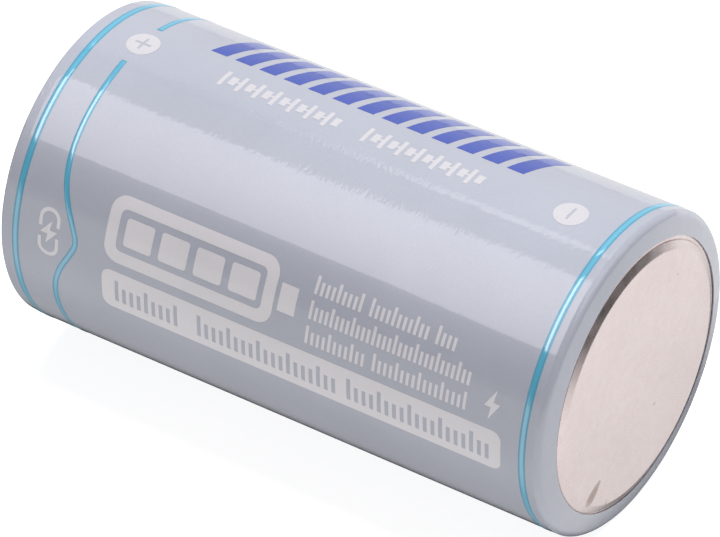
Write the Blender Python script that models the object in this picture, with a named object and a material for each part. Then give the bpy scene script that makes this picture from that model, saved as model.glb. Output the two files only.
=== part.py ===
"""C-size rechargeable lithium cell with a USB-C charging port, built as separate pieces.

The cell lies on its side. X is its axis, the origin is the centre of the negative contact
face, +X points out of that face, +Z is up, and -Y is the side with the printed face. Lengths
are metres. Places along the cell are stations: the distance from the negative contact face
towards the positive end, so a station s lies at x = -s.
"""
import math

import bmesh
import bpy
from mathutils import Matrix, Vector

MM = 0.001
GAP = 0.3 * MM                      # clearance between neighbouring pieces
SKIN_GAP = 0.1 * MM                 # clearance under a shrunk film
OUTER_SEGMENTS = 64
INNER_SEGMENTS = 32
SMALL_SEGMENTS = 20
SHARP_ANGLE = math.radians(35)

# Overall sizes
TOTAL_LENGTH = 50.0 * MM
BODY_RADIUS = 12.8 * MM

# Printed sleeve, turned in over both ends. An edge is the station where its rounded corner
# ends and the turned-in lip starts; the lip rises by its slope towards the hole.
SLEEVE_WALL = 0.15 * MM
CREASE_RADIUS = 0.15 * MM
CREASE_TURN = math.radians(30)
NEGATIVE_EDGE = 0.5 * MM
NEGATIVE_ROUND = 0.95 * MM
NEGATIVE_SLOPE = math.radians(12)
NEGATIVE_HOLE_RADIUS = 10.8 * MM
POSITIVE_EDGE = 48.8 * MM
POSITIVE_ROUND = 1.0 * MM
POSITIVE_SLOPE = 0.0
POSITIVE_HOLE_RADIUS = 10.65 * MM

# Outer steel can, whose raised bottom is the negative contact
CAN_INSET = SLEEVE_WALL + SKIN_GAP
CAN_RADIUS = BODY_RADIUS - CAN_INSET
CAN_WALL = 0.3 * MM
CAN_INSIDE = CAN_RADIUS - CAN_WALL
CAN_FLOOR = 1.1 * MM                # station of the can's inner floor round the raised boss
CAN_RIM = POSITIVE_EDGE - CAN_INSET
CRIMP_RADIUS = POSITIVE_HOLE_RADIUS + GAP
BOSS_FLAT_RADIUS = 9.97 * MM
BOSS_RADIUS = 10.6 * MM
BOSS_ROUND_DEPTH = 0.27 * MM

# Moulded end cap
FILL_RADIUS = CAN_INSIDE - GAP      # outside of whatever slides into the can
CAP_FACE = POSITIVE_EDGE - 0.3 * MM
CAP_FACE_RADIUS = POSITIVE_HOLE_RADIUS - GAP
CAP_CHAMFER = 0.2 * MM
CAP_SHOULDER = CAN_RIM - CAN_WALL - GAP
CAP_INSIDE = 46.6 * MM
CAP_SKIRT_END = 44.4 * MM
CAP_SKIRT_RADIUS = 10.7 * MM
CONTACT_SEAT = 48.0 * MM
CONTACT_SEAT_RADIUS = 4.7 * MM
POST_HOLE_RADIUS = 1.2 * MM

# Positive contact and its post
NUB_RADIUS = 3.2 * MM
NUB_ROUND = 0.5 * MM
CONTACT_WALL = 0.35 * MM
FLANGE_RADIUS = CONTACT_SEAT_RADIUS - GAP
FLANGE_BOTTOM = CONTACT_SEAT + GAP
FLANGE_TOP = FLANGE_BOTTOM + CONTACT_WALL
POST_RADIUS = 0.8 * MM
POST_HEAD_RADIUS = 1.5 * MM
POST_HEAD_DEPTH = 0.5 * MM

# USB-C receptacle, standing on the circuit board behind a window in the end cap
PORT_ANGLE = math.radians(11)       # direction of the port about X: 0 is -Y, 90 is +Z
PORT_OFFSET = 7.1 * MM              # from the cell's axis to the port's centre
PORT_WIDTH = 8.94 * MM
PORT_HEIGHT = 3.26 * MM
PORT_WALL = 0.3 * MM
PORT_MOUTH = CAP_FACE - 0.1 * MM
WINDOW_MARGIN = 0.28 * MM
TONGUE_WIDTH = 6.69 * MM
TONGUE_THICKNESS = 0.7 * MM
TONGUE_TIP = PORT_MOUTH - 0.8 * MM
TONGUE_BASE_DEPTH = 1.2 * MM
TONGUE_CLEARANCE = 0.15 * MM

# Light pipe above the status lamp
PIPE_RADIUS = 0.8 * MM
PIPE_HOLE_RADIUS = 1.1 * MM
LAMP_PLACE = (-6.2 * MM, -5.4 * MM)

# Circuit board
BOARD_RADIUS = 10.9 * MM
BOARD_TOP = 42.0 * MM
BOARD_BOTTOM = 41.0 * MM
SOLDER_TOP = BOARD_TOP + GAP        # where the parts on the board's top start
SOLDER_BOTTOM = BOARD_BOTTOM - GAP
CHIP_BEVEL = 0.12 * MM

# Parts on the board: width, height across the board and thickness, then their places
INDUCTOR_SIZE = (5.0 * MM, 5.0 * MM, 3.0 * MM)
INDUCTOR_PLACE = (0.6 * MM, -5.4 * MM)
CONVERTER_SIZE = (3.0 * MM, 3.0 * MM, 0.9 * MM)
CONVERTER_PLACE = (5.6 * MM, -1.2 * MM)
CHARGER_SIZE = (4.0 * MM, 4.0 * MM, 0.9 * MM)
CHARGER_PLACE = (-5.6 * MM, -0.8 * MM)
CAPACITOR_SIZE = (1.6 * MM, 3.2 * MM, 1.6 * MM)
OUTPUT_CAPACITOR_PLACE = (5.4 * MM, -5.6 * MM)
INPUT_CAPACITOR_PLACE = (-3.4 * MM, -5.8 * MM)
LAMP_SIZE = (1.6 * MM, 0.8 * MM, 0.6 * MM)
MOSFET_SIZE = (3.0 * MM, 2.8 * MM, 0.9 * MM)
MOSFET_PLACE = (-4.6 * MM, -3.6 * MM)

# Carrier ring that seats the board, and holder round the inner cell
CARRIER_START = 38.2 * MM
CARRIER_RIM_END = BOARD_TOP - 0.1 * MM
CARRIER_HOLE_RADIUS = 9.4 * MM
HOLDER_START = 2.2 * MM
HOLDER_END = CARRIER_START - GAP
HOLDER_WALL = 0.65 * MM
HOLDER_RIB = 1.2 * MM
PAD_START = CAN_FLOOR + GAP
PAD_END = HOLDER_START - GAP
PAD_HOLE_RADIUS = 8.0 * MM

# Inner lithium-ion cell, 18 mm across and 35 mm long
CELL_START = 2.5 * MM
CELL_END = 37.6 * MM
WRAP_RADIUS = 9.25 * MM
WRAP_WALL = 0.15 * MM
WRAP_ROUND = 0.3 * MM
WRAP_HOLE_RADIUS = 7.6 * MM
CELL_RADIUS = WRAP_RADIUS - WRAP_WALL - SKIN_GAP
CELL_WALL = 0.25 * MM
CELL_INSIDE = CELL_RADIUS - CELL_WALL
CELL_BOTTOM = CELL_START + WRAP_WALL + SKIN_GAP
CELL_TOP = CELL_END - WRAP_WALL - SKIN_GAP
BEAD_START = 33.4 * MM
BEAD_WIDTH = 1.2 * MM
BEAD_DEPTH = 0.5 * MM
CELL_CRIMP_RADIUS = 7.4 * MM

# Closure of the inner cell
GASKET_RADIUS = CELL_INSIDE - 0.15 * MM
GASKET_START = BEAD_START + BEAD_WIDTH + 0.25 * MM
GASKET_END = CELL_TOP - CELL_WALL - 0.2 * MM
GASKET_WALL = 0.3 * MM
GASKET_HOLE_RADIUS = 7.2 * MM
CLOSURE_RADIUS = GASKET_RADIUS - GASKET_WALL - 0.2 * MM
CLOSURE_WALL = 0.3 * MM
TOP_CAP_BUTTON = CELL_END + 0.15 * MM
TOP_CAP_BUTTON_RADIUS = 3.3 * MM
TOP_CAP_FOOT_RADIUS = 4.2 * MM
TOP_CAP_RIM = GASKET_END - GASKET_WALL - 0.1 * MM
VENT_RIM = TOP_CAP_RIM - CLOSURE_WALL - GAP
VENT_DISH_DEPTH = 0.5 * MM
VENT_DISH_RADIUS = 2.5 * MM
VENT_FOOT_RADIUS = 3.5 * MM

# Wound electrodes and the pieces round them
INSULATOR_WALL = 0.3 * MM
INSULATOR_RADIUS = 7.9 * MM
LOWER_INSULATOR_START = CELL_BOTTOM + CELL_WALL + 0.7 * MM
UPPER_INSULATOR_START = 32.6 * MM
LOWER_HOLE_RADIUS = 1.6 * MM
UPPER_HOLE_RADIUS = 2.2 * MM
ROLL_RADIUS = 8.45 * MM
ROLL_CORE_RADIUS = 1.9 * MM
ROLL_PITCH = 1.3 * MM
ROLL_THICKNESS = 1.0 * MM
ROLL_STEPS_PER_TURN = 28
ROLL_START = LOWER_INSULATOR_START + INSULATOR_WALL + GAP
ROLL_END = UPPER_INSULATOR_START - GAP
MANDREL_RADIUS = 1.4 * MM
MANDREL_BORE_RADIUS = 1.0 * MM

# Bent metal strips. A reach is measured from the cell's axis, towards the port if positive.
STRIP_THICKNESS = 0.2 * MM
STRIP_BEND = 0.8 * MM
TAB_WIDTH = 4.0 * MM
INNER_TAB_WIDTH = 3.0 * MM
CLIP_WIDTH = 3.0 * MM
NEGATIVE_TAB_FOLD = -2.2 * MM
NEGATIVE_TAB_REACH = 3.0 * MM
POSITIVE_TAB_START = -1.5 * MM
POSITIVE_TAB_RISE = 4.0 * MM
POSITIVE_TAB_REACH = 7.0 * MM
CLIP_FOOT = 3.0 * MM
CLIP_SPRING = 0.4 * MM
ANODE_TAB_REACH = 1.5 * MM
ANODE_TAB_BEND = 0.2 * MM
CATHODE_TAB_RISE = 1.2 * MM
CATHODE_TAB_FOLD = 5.0 * MM
CATHODE_TAB_BEND = 0.3 * MM
CATHODE_TAB_REACH = -1.5 * MM


def clear_scene():
    """Start from an empty file."""
    for old in list(bpy.data.objects):
        bpy.data.objects.remove(old, do_unlink=True)


def make_material(name, colour, roughness, metallic=0.0):
    """A plain Principled material."""
    material = bpy.data.materials.new(name)
    material.use_nodes = True
    shader = material.node_tree.nodes["Principled BSDF"]
    shader.inputs["Base Color"].default_value = (*colour, 1.0)
    shader.inputs["Roughness"].default_value = roughness
    shader.inputs["Metallic"].default_value = metallic
    material.diffuse_color = (*colour, 1.0)
    return material


def make_object(name, bm, material, parent=None, smooth=True):
    """Turn a bmesh into a named object with outward faces."""
    bmesh.ops.recalc_face_normals(bm, faces=bm.faces)
    mesh = bpy.data.meshes.new(name)
    bm.to_mesh(mesh)
    bm.free()
    if smooth:
        mesh.shade_smooth()
        mesh.set_sharp_from_angle(angle=SHARP_ANGLE)
    mesh.materials.append(material)
    made = bpy.data.objects.new(name, mesh)
    bpy.context.scene.collection.objects.link(made)
    made.parent = parent
    return made


def arc(station, radius, depth, height, start, end, steps=4):
    """Points on an elliptical arc round (station, radius), with angles in degrees."""
    points = []
    for step in range(steps + 1):
        angle = math.radians(start + (end - start) * step / steps)
        points.append((station + depth * math.cos(angle), radius + height * math.sin(angle)))
    return points


def sleeve_end(edge, side, radius, slope, hole_radius, inset=0.0, steps=3):
    """Outline of one end at an inset from the sleeve's surface, from the hole to the side.

    side is 1 at the negative end and -1 at the positive end. The side of the body turns
    through a tight crease, then a wide arc, then runs in to the hole along the lip.
    """
    last = math.pi / 2 - slope
    crease = (edge + side * ((CREASE_RADIUS - radius) * math.sin(CREASE_TURN)
                             + radius * math.sin(last)),
              BODY_RADIUS - CREASE_RADIUS)
    centre = (crease[0] - side * (CREASE_RADIUS - radius) * math.sin(CREASE_TURN),
              crease[1] + (CREASE_RADIUS - radius) * math.cos(CREASE_TURN))
    points = []
    for step in range(steps + 1):
        angle = last + (CREASE_TURN - last) * step / steps
        points.append((centre[0] - side * (radius - inset) * math.sin(angle),
                       min(centre[1] + (radius - inset) * math.cos(angle),
                           BODY_RADIUS - inset)))
    run = points[0][1] - hole_radius
    points.insert(0, (points[0][0] - side * run * math.tan(slope), hole_radius))
    points.append((crease[0] + side * CREASE_RADIUS, BODY_RADIUS - inset))
    return points


def negative_end(hole_radius, inset=0.0):
    """Outline of the negative end, from the hole to the side."""
    return sleeve_end(NEGATIVE_EDGE, 1, NEGATIVE_ROUND, NEGATIVE_SLOPE, hole_radius, inset)


def positive_end(hole_radius, inset=0.0):
    """Outline of the positive end, from the hole to the side."""
    return sleeve_end(POSITIVE_EDGE, -1, POSITIVE_ROUND, POSITIVE_SLOPE, hole_radius, inset)


def turned(name, outline, segments, material):
    """A solid turned about X from a closed outline of (station, radius) points.

    The flats of its polygon touch the stated radii, and flats face down, up, front and back.
    """
    spread = 1.0 / math.cos(math.pi / segments)
    half_step = Matrix.Rotation(math.pi / segments, 3, "X")
    bm = bmesh.new()
    ring = []
    for station, radius in outline:
        ring.append(bm.verts.new(half_step @ Vector((-station, 0.0, radius * spread))))
    edges = []
    for index, vertex in enumerate(ring):
        follower = (index + 1) % len(ring)
        if outline[index][1] > 0.0 or outline[follower][1] > 0.0:
            edges.append(bm.edges.new((vertex, ring[follower])))
    bmesh.ops.spin(bm, geom=ring + edges, cent=(0, 0, 0), axis=(1, 0, 0), dvec=(0, 0, 0),
                   angle=math.tau, steps=segments)
    bmesh.ops.remove_doubles(bm, verts=bm.verts, dist=0.001 * MM)
    return make_object(name, bm, material)


def swept(name, rings, material, parent=None, closed=False, smooth=False):
    """A solid skinned over rings with the same number of points."""
    bm = bmesh.new()
    loops = [[bm.verts.new(point) for point in ring] for ring in rings]
    count = len(loops[0])
    spans = len(loops) if closed else len(loops) - 1
    for span in range(spans):
        near = loops[span]
        far = loops[(span + 1) % len(loops)]
        for index in range(count):
            follower = (index + 1) % count
            bm.faces.new((near[index], near[follower], far[follower], far[index]))
    if not closed:
        bm.faces.new(loops[0])
        bm.faces.new(loops[-1])
    return make_object(name, bm, material, parent, smooth)


def stadium(width, height, place=(0.0, 0.0), steps=6):
    """Points of a slot with round ends, width across and height thick."""
    half = (width - height) / 2
    points = []
    for side, start in ((1, -90), (-1, 90)):
        for step in range(steps + 1):
            angle = math.radians(start + 180 * step / steps)
            points.append((place[0] + side * half + height / 2 * math.cos(angle),
                           place[1] + height / 2 * math.sin(angle)))
    return points


def at_station(points, station):
    """Points of the end frame at one station."""
    return [Vector((u, v, station)) for u, v in points]


def block(name, size, place, base, material, parent, downward=False):
    """A box with bevelled edges that stands on a station, or hangs under it."""
    middle = base + (-size[2] if downward else size[2]) / 2
    bm = bmesh.new()
    bmesh.ops.create_cube(bm, size=1.0)
    bmesh.ops.scale(bm, vec=size, verts=bm.verts)
    bmesh.ops.bevel(bm, geom=bm.edges, offset=CHIP_BEVEL, segments=1, profile=0.5,
                    affect="EDGES")
    made = make_object(name, bm, material, parent, smooth=False)
    made.location = (place[0], place[1], middle)
    return made


def ribbon(name, path, width, material, parent, place=0.0):
    """A metal strip bent along a path of (radial, station) points in the end frame."""
    rings = []
    for index, point in enumerate(path):
        here = Vector(point)
        before = (here - Vector(path[index - 1])).normalized() if index else None
        after = (Vector(path[index + 1]) - here).normalized() if index + 1 < len(path) else None
        before = before or after
        after = after or before
        normal = Vector((-before.y - after.y, before.x + after.x))
        normal *= STRIP_THICKNESS / 2 / (1.0 + before.dot(after))
        ring = []
        for side, edge in ((1, -1), (1, 1), (-1, 1), (-1, -1)):
            offset = here + side * normal
            ring.append(Vector((place + edge * width / 2, offset.x, offset.y)))
        rings.append(ring)
    return swept(name, rings, material, parent)


def cut(target, cutter):
    """Cut one solid out of another and keep the cutter as a hidden guide."""
    modifier = target.modifiers.new(cutter.name, "BOOLEAN")
    modifier.operation = "DIFFERENCE"
    modifier.solver = "EXACT"
    modifier.object = cutter
    cutter.hide_render = True
    cutter.display_type = "WIRE"


def make_end_frame():
    """An empty whose Z runs along the stations and whose Y points at the port."""
    frame = bpy.data.objects.new("end_frame", None)
    bpy.context.scene.collection.objects.link(frame)
    across = Vector((0.0, -math.sin(PORT_ANGLE), -math.cos(PORT_ANGLE)))
    outward = Vector((0.0, -math.cos(PORT_ANGLE), math.sin(PORT_ANGLE)))
    along = Vector((-1.0, 0.0, 0.0))
    frame.matrix_world = Matrix((across, outward, along)).transposed().to_4x4()
    return frame


def make_sleeve():
    """Shrunk printed film, turned in over both ends."""
    film = make_material("printed_sleeve", (0.62, 0.63, 0.70), 0.25)
    outline = positive_end(POSITIVE_HOLE_RADIUS)
    outline += reversed(negative_end(NEGATIVE_HOLE_RADIUS))
    outline += negative_end(NEGATIVE_HOLE_RADIUS, SLEEVE_WALL)
    outline += reversed(positive_end(POSITIVE_HOLE_RADIUS, SLEEVE_WALL))
    turned("label_sleeve", outline, OUTER_SEGMENTS, film)


def make_outer_can():
    """Drawn steel can with a raised bottom and a crimped rim."""
    steel = make_material("outer_can_nickel", (0.78, 0.72, 0.70), 0.35, 1.0)
    boss_edge = BOSS_RADIUS - BOSS_FLAT_RADIUS
    outline = [(0.0, 0.0)]
    outline += arc(BOSS_ROUND_DEPTH, BOSS_FLAT_RADIUS, BOSS_ROUND_DEPTH, boss_edge, 180, 90)
    outline += negative_end(BOSS_RADIUS, CAN_INSET)
    outline += reversed(positive_end(CRIMP_RADIUS, CAN_INSET))
    outline.append((CAN_RIM - CAN_WALL, CRIMP_RADIUS))
    outline.append((CAN_RIM - CAN_WALL, CAN_INSIDE - CAN_WALL))
    outline.append((CAN_RIM - 2 * CAN_WALL, CAN_INSIDE))
    outline.append((CAN_FLOOR + CAN_WALL, CAN_INSIDE))
    outline.append((CAN_FLOOR, CAN_INSIDE - CAN_WALL))
    outline.append((CAN_FLOOR, BOSS_RADIUS - CAN_WALL))
    outline.append((BOSS_ROUND_DEPTH + CAN_WALL, BOSS_RADIUS - CAN_WALL))
    outline.append((CAN_WALL, BOSS_FLAT_RADIUS - CAN_WALL))
    outline.append((CAN_WALL, 0.0))
    turned("outer_can", outline, OUTER_SEGMENTS, steel)


def make_end_cap(end_frame):
    """Moulded cap with the contact's seat, the port's window and the light pipe's hole."""
    plastic = make_material("end_cap_plastic", (0.86, 0.87, 0.89), 0.45)
    outline = [
        (CONTACT_SEAT, POST_HOLE_RADIUS),
        (CONTACT_SEAT, CONTACT_SEAT_RADIUS),
        (CAP_FACE, CONTACT_SEAT_RADIUS),
        (CAP_FACE, CAP_FACE_RADIUS - CAP_CHAMFER),
        (CAP_FACE - CAP_CHAMFER, CAP_FACE_RADIUS),
        (CAP_SHOULDER, CAP_FACE_RADIUS),
        (CAP_SHOULDER, FILL_RADIUS),
        (CAP_SKIRT_END, FILL_RADIUS),
        (CAP_SKIRT_END, CAP_SKIRT_RADIUS),
        (CAP_INSIDE, CAP_SKIRT_RADIUS),
        (CAP_INSIDE, POST_HOLE_RADIUS),
    ]
    cap = turned("end_cap", outline, OUTER_SEGMENTS, plastic)
    guide = make_material("guide", (0.9, 0.4, 0.1), 0.5)
    slot = stadium(PORT_WIDTH + 2 * WINDOW_MARGIN, PORT_HEIGHT + 2 * WINDOW_MARGIN,
                   (0.0, PORT_OFFSET))
    hole = stadium(2 * PIPE_HOLE_RADIUS, 2 * PIPE_HOLE_RADIUS - SKIN_GAP, LAMP_PLACE)
    for name, points in (("port_window_guide", slot), ("light_hole_guide", hole)):
        ends = [at_station(points, CAP_INSIDE - MM), at_station(points, CAP_FACE + MM)]
        cut(cap, swept(name, ends, guide, end_frame))


def make_contact():
    """Drawn positive contact, and the post that joins it to the circuit board."""
    nickel = make_material("contact_nickel", (0.80, 0.77, 0.74), 0.25, 1.0)
    brass = make_material("post_brass", (0.78, 0.62, 0.32), 0.35, 1.0)
    outline = [(TOTAL_LENGTH, 0.0)]
    outline += arc(TOTAL_LENGTH - NUB_ROUND, NUB_RADIUS - NUB_ROUND, NUB_ROUND, NUB_ROUND,
                   0, 90)
    outline.append((FLANGE_TOP, NUB_RADIUS))
    outline.append((FLANGE_TOP, FLANGE_RADIUS))
    outline.append((FLANGE_BOTTOM, FLANGE_RADIUS))
    outline.append((FLANGE_BOTTOM, NUB_RADIUS - CONTACT_WALL))
    outline.append((TOTAL_LENGTH - CONTACT_WALL, NUB_RADIUS - CONTACT_WALL))
    outline.append((TOTAL_LENGTH - CONTACT_WALL, 0.0))
    turned("positive_contact", outline, INNER_SEGMENTS, nickel)
    head = TOTAL_LENGTH - CONTACT_WALL - GAP
    outline = [
        (head, 0.0),
        (head, POST_HEAD_RADIUS),
        (head - POST_HEAD_DEPTH, POST_HEAD_RADIUS),
        (head - POST_HEAD_DEPTH, POST_RADIUS),
        (SOLDER_TOP, POST_RADIUS),
        (SOLDER_TOP, 0.0),
    ]
    turned("contact_post", outline, SMALL_SEGMENTS, brass)


def make_port(end_frame):
    """USB-C receptacle: a seamless steel shell round a plastic tongue."""
    steel = make_material("port_steel", (0.72, 0.73, 0.75), 0.25, 1.0)
    black = make_material("port_plastic", (0.03, 0.03, 0.035), 0.5)
    place = (0.0, PORT_OFFSET)
    outside = stadium(PORT_WIDTH, PORT_HEIGHT, place)
    inside = stadium(PORT_WIDTH - 2 * PORT_WALL, PORT_HEIGHT - 2 * PORT_WALL, place)
    rings = []
    for (outer_u, outer_v), (inner_u, inner_v) in zip(outside, inside):
        rings.append([Vector((outer_u, outer_v, PORT_MOUTH)),
                      Vector((outer_u, outer_v, SOLDER_TOP)),
                      Vector((inner_u, inner_v, SOLDER_TOP)),
                      Vector((inner_u, inner_v, PORT_MOUTH))])
    swept("port_shell", rings, steel, end_frame, closed=True, smooth=True)
    margin = PORT_WALL + TONGUE_CLEARANCE
    base = stadium(PORT_WIDTH - 2 * margin, PORT_HEIGHT - 2 * margin, place)
    tongue = stadium(TONGUE_WIDTH, TONGUE_THICKNESS, place)
    step = SOLDER_TOP + TONGUE_BASE_DEPTH
    rings = [at_station(base, SOLDER_TOP), at_station(base, step),
             at_station(tongue, step), at_station(tongue, TONGUE_TIP)]
    swept("port_tongue", rings, black, end_frame, smooth=True)


def make_light_pipe(end_frame):
    """Clear pipe that brings the status lamp's light to the end face."""
    clear = make_material("light_pipe_clear", (0.85, 0.92, 0.95), 0.15)
    bm = bmesh.new()
    bottom = SOLDER_TOP + LAMP_SIZE[2] + GAP
    bmesh.ops.create_cone(bm, cap_ends=True, segments=SMALL_SEGMENTS, radius1=PIPE_RADIUS,
                          radius2=PIPE_RADIUS, depth=CAP_FACE - bottom)
    pipe = make_object("light_pipe", bm, clear, end_frame)
    pipe.location = (*LAMP_PLACE, (CAP_FACE + bottom) / 2)


def make_board(end_frame):
    """Round circuit board with the charger and the 1.5 V converter."""
    laminate = make_material("board_laminate", (0.03, 0.20, 0.10), 0.45)
    ferrite = make_material("inductor_ferrite", (0.12, 0.12, 0.13), 0.6)
    epoxy = make_material("chip_epoxy", (0.03, 0.03, 0.03), 0.5)
    ceramic = make_material("capacitor_ceramic", (0.55, 0.42, 0.30), 0.5)
    lamp = make_material("lamp_resin", (0.95, 0.93, 0.80), 0.3)
    outline = [(BOARD_BOTTOM, 0.0), (BOARD_BOTTOM, BOARD_RADIUS),
               (BOARD_TOP, BOARD_RADIUS), (BOARD_TOP, 0.0)]
    turned("main_pcb", outline, INNER_SEGMENTS, laminate)
    for name, size, place, material in (
            ("converter_inductor", INDUCTOR_SIZE, INDUCTOR_PLACE, ferrite),
            ("converter_chip", CONVERTER_SIZE, CONVERTER_PLACE, epoxy),
            ("charger_chip", CHARGER_SIZE, CHARGER_PLACE, epoxy),
            ("output_capacitor", CAPACITOR_SIZE, OUTPUT_CAPACITOR_PLACE, ceramic),
            ("input_capacitor", CAPACITOR_SIZE, INPUT_CAPACITOR_PLACE, ceramic),
            ("status_lamp", LAMP_SIZE, LAMP_PLACE, lamp)):
        block(name, size, place, SOLDER_TOP, material, end_frame)
    block("protection_mosfet", MOSFET_SIZE, MOSFET_PLACE, SOLDER_BOTTOM, epoxy, end_frame,
          downward=True)


def make_carrier_and_holder():
    """Carrier ring under the board, ribbed holder round the inner cell, and foam pad."""
    plastic = make_material("holder_plastic", (0.20, 0.21, 0.23), 0.6)
    foam = make_material("pad_foam", (0.12, 0.12, 0.12), 0.9)
    rim_radius = BOARD_RADIUS + GAP
    outline = [
        (CARRIER_START, CARRIER_HOLE_RADIUS),
        (CARRIER_START, FILL_RADIUS),
        (CARRIER_RIM_END, FILL_RADIUS),
        (CARRIER_RIM_END, rim_radius),
        (SOLDER_BOTTOM, rim_radius),
        (SOLDER_BOTTOM, CARRIER_HOLE_RADIUS),
    ]
    turned("pcb_carrier", outline, INNER_SEGMENTS, plastic)
    bore = WRAP_RADIUS + GAP
    tube = bore + HOLDER_WALL
    middle = (HOLDER_START + HOLDER_END - HOLDER_RIB) / 2
    outline = [(HOLDER_START, bore)]
    for rib in (HOLDER_START, middle, HOLDER_END - HOLDER_RIB):
        if rib > HOLDER_START:
            outline.append((rib, tube))
        outline.append((rib, FILL_RADIUS))
        outline.append((rib + HOLDER_RIB, FILL_RADIUS))
        if rib + HOLDER_RIB < HOLDER_END - MM:
            outline.append((rib + HOLDER_RIB, tube))
    outline.append((HOLDER_END, bore))
    turned("cell_holder", outline, INNER_SEGMENTS, plastic)
    outline = [(PAD_START, PAD_HOLE_RADIUS), (PAD_START, FILL_RADIUS),
               (PAD_END, FILL_RADIUS), (PAD_END, PAD_HOLE_RADIUS)]
    turned("foam_pad", outline, INNER_SEGMENTS, foam)


def make_inner_cell_shell():
    """Wrap, can, gasket, vent disc and top cap of the inner cell."""
    film = make_material("cell_wrap_film", (0.10, 0.32, 0.62), 0.35)
    steel = make_material("cell_steel", (0.66, 0.66, 0.66), 0.35, 1.0)
    polymer = make_material("gasket_polymer", (0.80, 0.80, 0.76), 0.6)
    metal = make_material("vent_aluminium", (0.82, 0.82, 0.83), 0.3, 1.0)
    outline = [(CELL_END, WRAP_HOLE_RADIUS)]
    outline += arc(CELL_END - WRAP_ROUND, WRAP_RADIUS - WRAP_ROUND, WRAP_ROUND, WRAP_ROUND,
                   0, 90, 2)
    outline += arc(CELL_START + WRAP_ROUND, WRAP_RADIUS - WRAP_ROUND, WRAP_ROUND, WRAP_ROUND,
                   90, 180, 2)
    outline.append((CELL_START, WRAP_HOLE_RADIUS))
    outline.append((CELL_START + WRAP_WALL, WRAP_HOLE_RADIUS))
    outline.append((CELL_START + WRAP_WALL, WRAP_RADIUS - WRAP_ROUND))
    outline.append((CELL_START + WRAP_ROUND, WRAP_RADIUS - WRAP_WALL))
    outline.append((CELL_END - WRAP_ROUND, WRAP_RADIUS - WRAP_WALL))
    outline.append((CELL_END - WRAP_WALL, WRAP_RADIUS - WRAP_ROUND))
    outline.append((CELL_END - WRAP_WALL, WRAP_HOLE_RADIUS))
    turned("cell_wrap", outline, INNER_SEGMENTS, film)

    corner = WRAP_ROUND
    slope = BEAD_WIDTH / 4
    outline = [(CELL_BOTTOM, 0.0)]
    outline.append((CELL_BOTTOM, CELL_RADIUS - corner))
    outline.append((CELL_BOTTOM + corner, CELL_RADIUS))
    outline.append((BEAD_START, CELL_RADIUS))
    outline.append((BEAD_START + slope, CELL_RADIUS - BEAD_DEPTH))
    outline.append((BEAD_START + BEAD_WIDTH - slope, CELL_RADIUS - BEAD_DEPTH))
    outline.append((BEAD_START + BEAD_WIDTH, CELL_RADIUS))
    outline.append((CELL_TOP - corner, CELL_RADIUS))
    outline.append((CELL_TOP, CELL_RADIUS - corner))
    outline.append((CELL_TOP, CELL_CRIMP_RADIUS))
    outline.append((CELL_TOP - CELL_WALL, CELL_CRIMP_RADIUS))
    outline.append((CELL_TOP - CELL_WALL, CELL_INSIDE))
    outline.append((BEAD_START + BEAD_WIDTH, CELL_INSIDE))
    outline.append((BEAD_START + BEAD_WIDTH - slope, CELL_INSIDE - BEAD_DEPTH))
    outline.append((BEAD_START + slope, CELL_INSIDE - BEAD_DEPTH))
    outline.append((BEAD_START, CELL_INSIDE))
    outline.append((CELL_BOTTOM + CELL_WALL, CELL_INSIDE))
    outline.append((CELL_BOTTOM + CELL_WALL, 0.0))
    turned("cell_can", outline, INNER_SEGMENTS, steel)

    outline = [
        (GASKET_END, CELL_CRIMP_RADIUS),
        (GASKET_END, GASKET_RADIUS),
        (GASKET_START, GASKET_RADIUS),
        (GASKET_START, GASKET_HOLE_RADIUS),
        (GASKET_START + GASKET_WALL, GASKET_HOLE_RADIUS),
        (GASKET_START + GASKET_WALL, GASKET_RADIUS - GASKET_WALL),
        (GASKET_END - GASKET_WALL, GASKET_RADIUS - GASKET_WALL),
        (GASKET_END - GASKET_WALL, CELL_CRIMP_RADIUS),
    ]
    turned("cell_gasket", outline, INNER_SEGMENTS, polymer)

    outline = [
        (TOP_CAP_BUTTON, 0.0),
        (TOP_CAP_BUTTON, TOP_CAP_BUTTON_RADIUS),
        (TOP_CAP_RIM, TOP_CAP_FOOT_RADIUS),
        (TOP_CAP_RIM, CLOSURE_RADIUS),
        (TOP_CAP_RIM - CLOSURE_WALL, CLOSURE_RADIUS),
        (TOP_CAP_RIM - CLOSURE_WALL, TOP_CAP_FOOT_RADIUS - CLOSURE_WALL),
        (TOP_CAP_BUTTON - CLOSURE_WALL, TOP_CAP_BUTTON_RADIUS - CLOSURE_WALL),
        (TOP_CAP_BUTTON - CLOSURE_WALL, 0.0),
    ]
    turned("cell_top_cap", outline, INNER_SEGMENTS, steel)

    outline = [
        (VENT_RIM - VENT_DISH_DEPTH, 0.0),
        (VENT_RIM - VENT_DISH_DEPTH, VENT_DISH_RADIUS),
        (VENT_RIM, VENT_FOOT_RADIUS),
        (VENT_RIM, CLOSURE_RADIUS),
        (VENT_RIM - CLOSURE_WALL, CLOSURE_RADIUS),
        (VENT_RIM - CLOSURE_WALL, VENT_FOOT_RADIUS),
        (VENT_RIM - CLOSURE_WALL - VENT_DISH_DEPTH, VENT_DISH_RADIUS),
        (VENT_RIM - CLOSURE_WALL - VENT_DISH_DEPTH, 0.0),
    ]
    turned("vent_disc", outline, INNER_SEGMENTS, metal)


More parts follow.
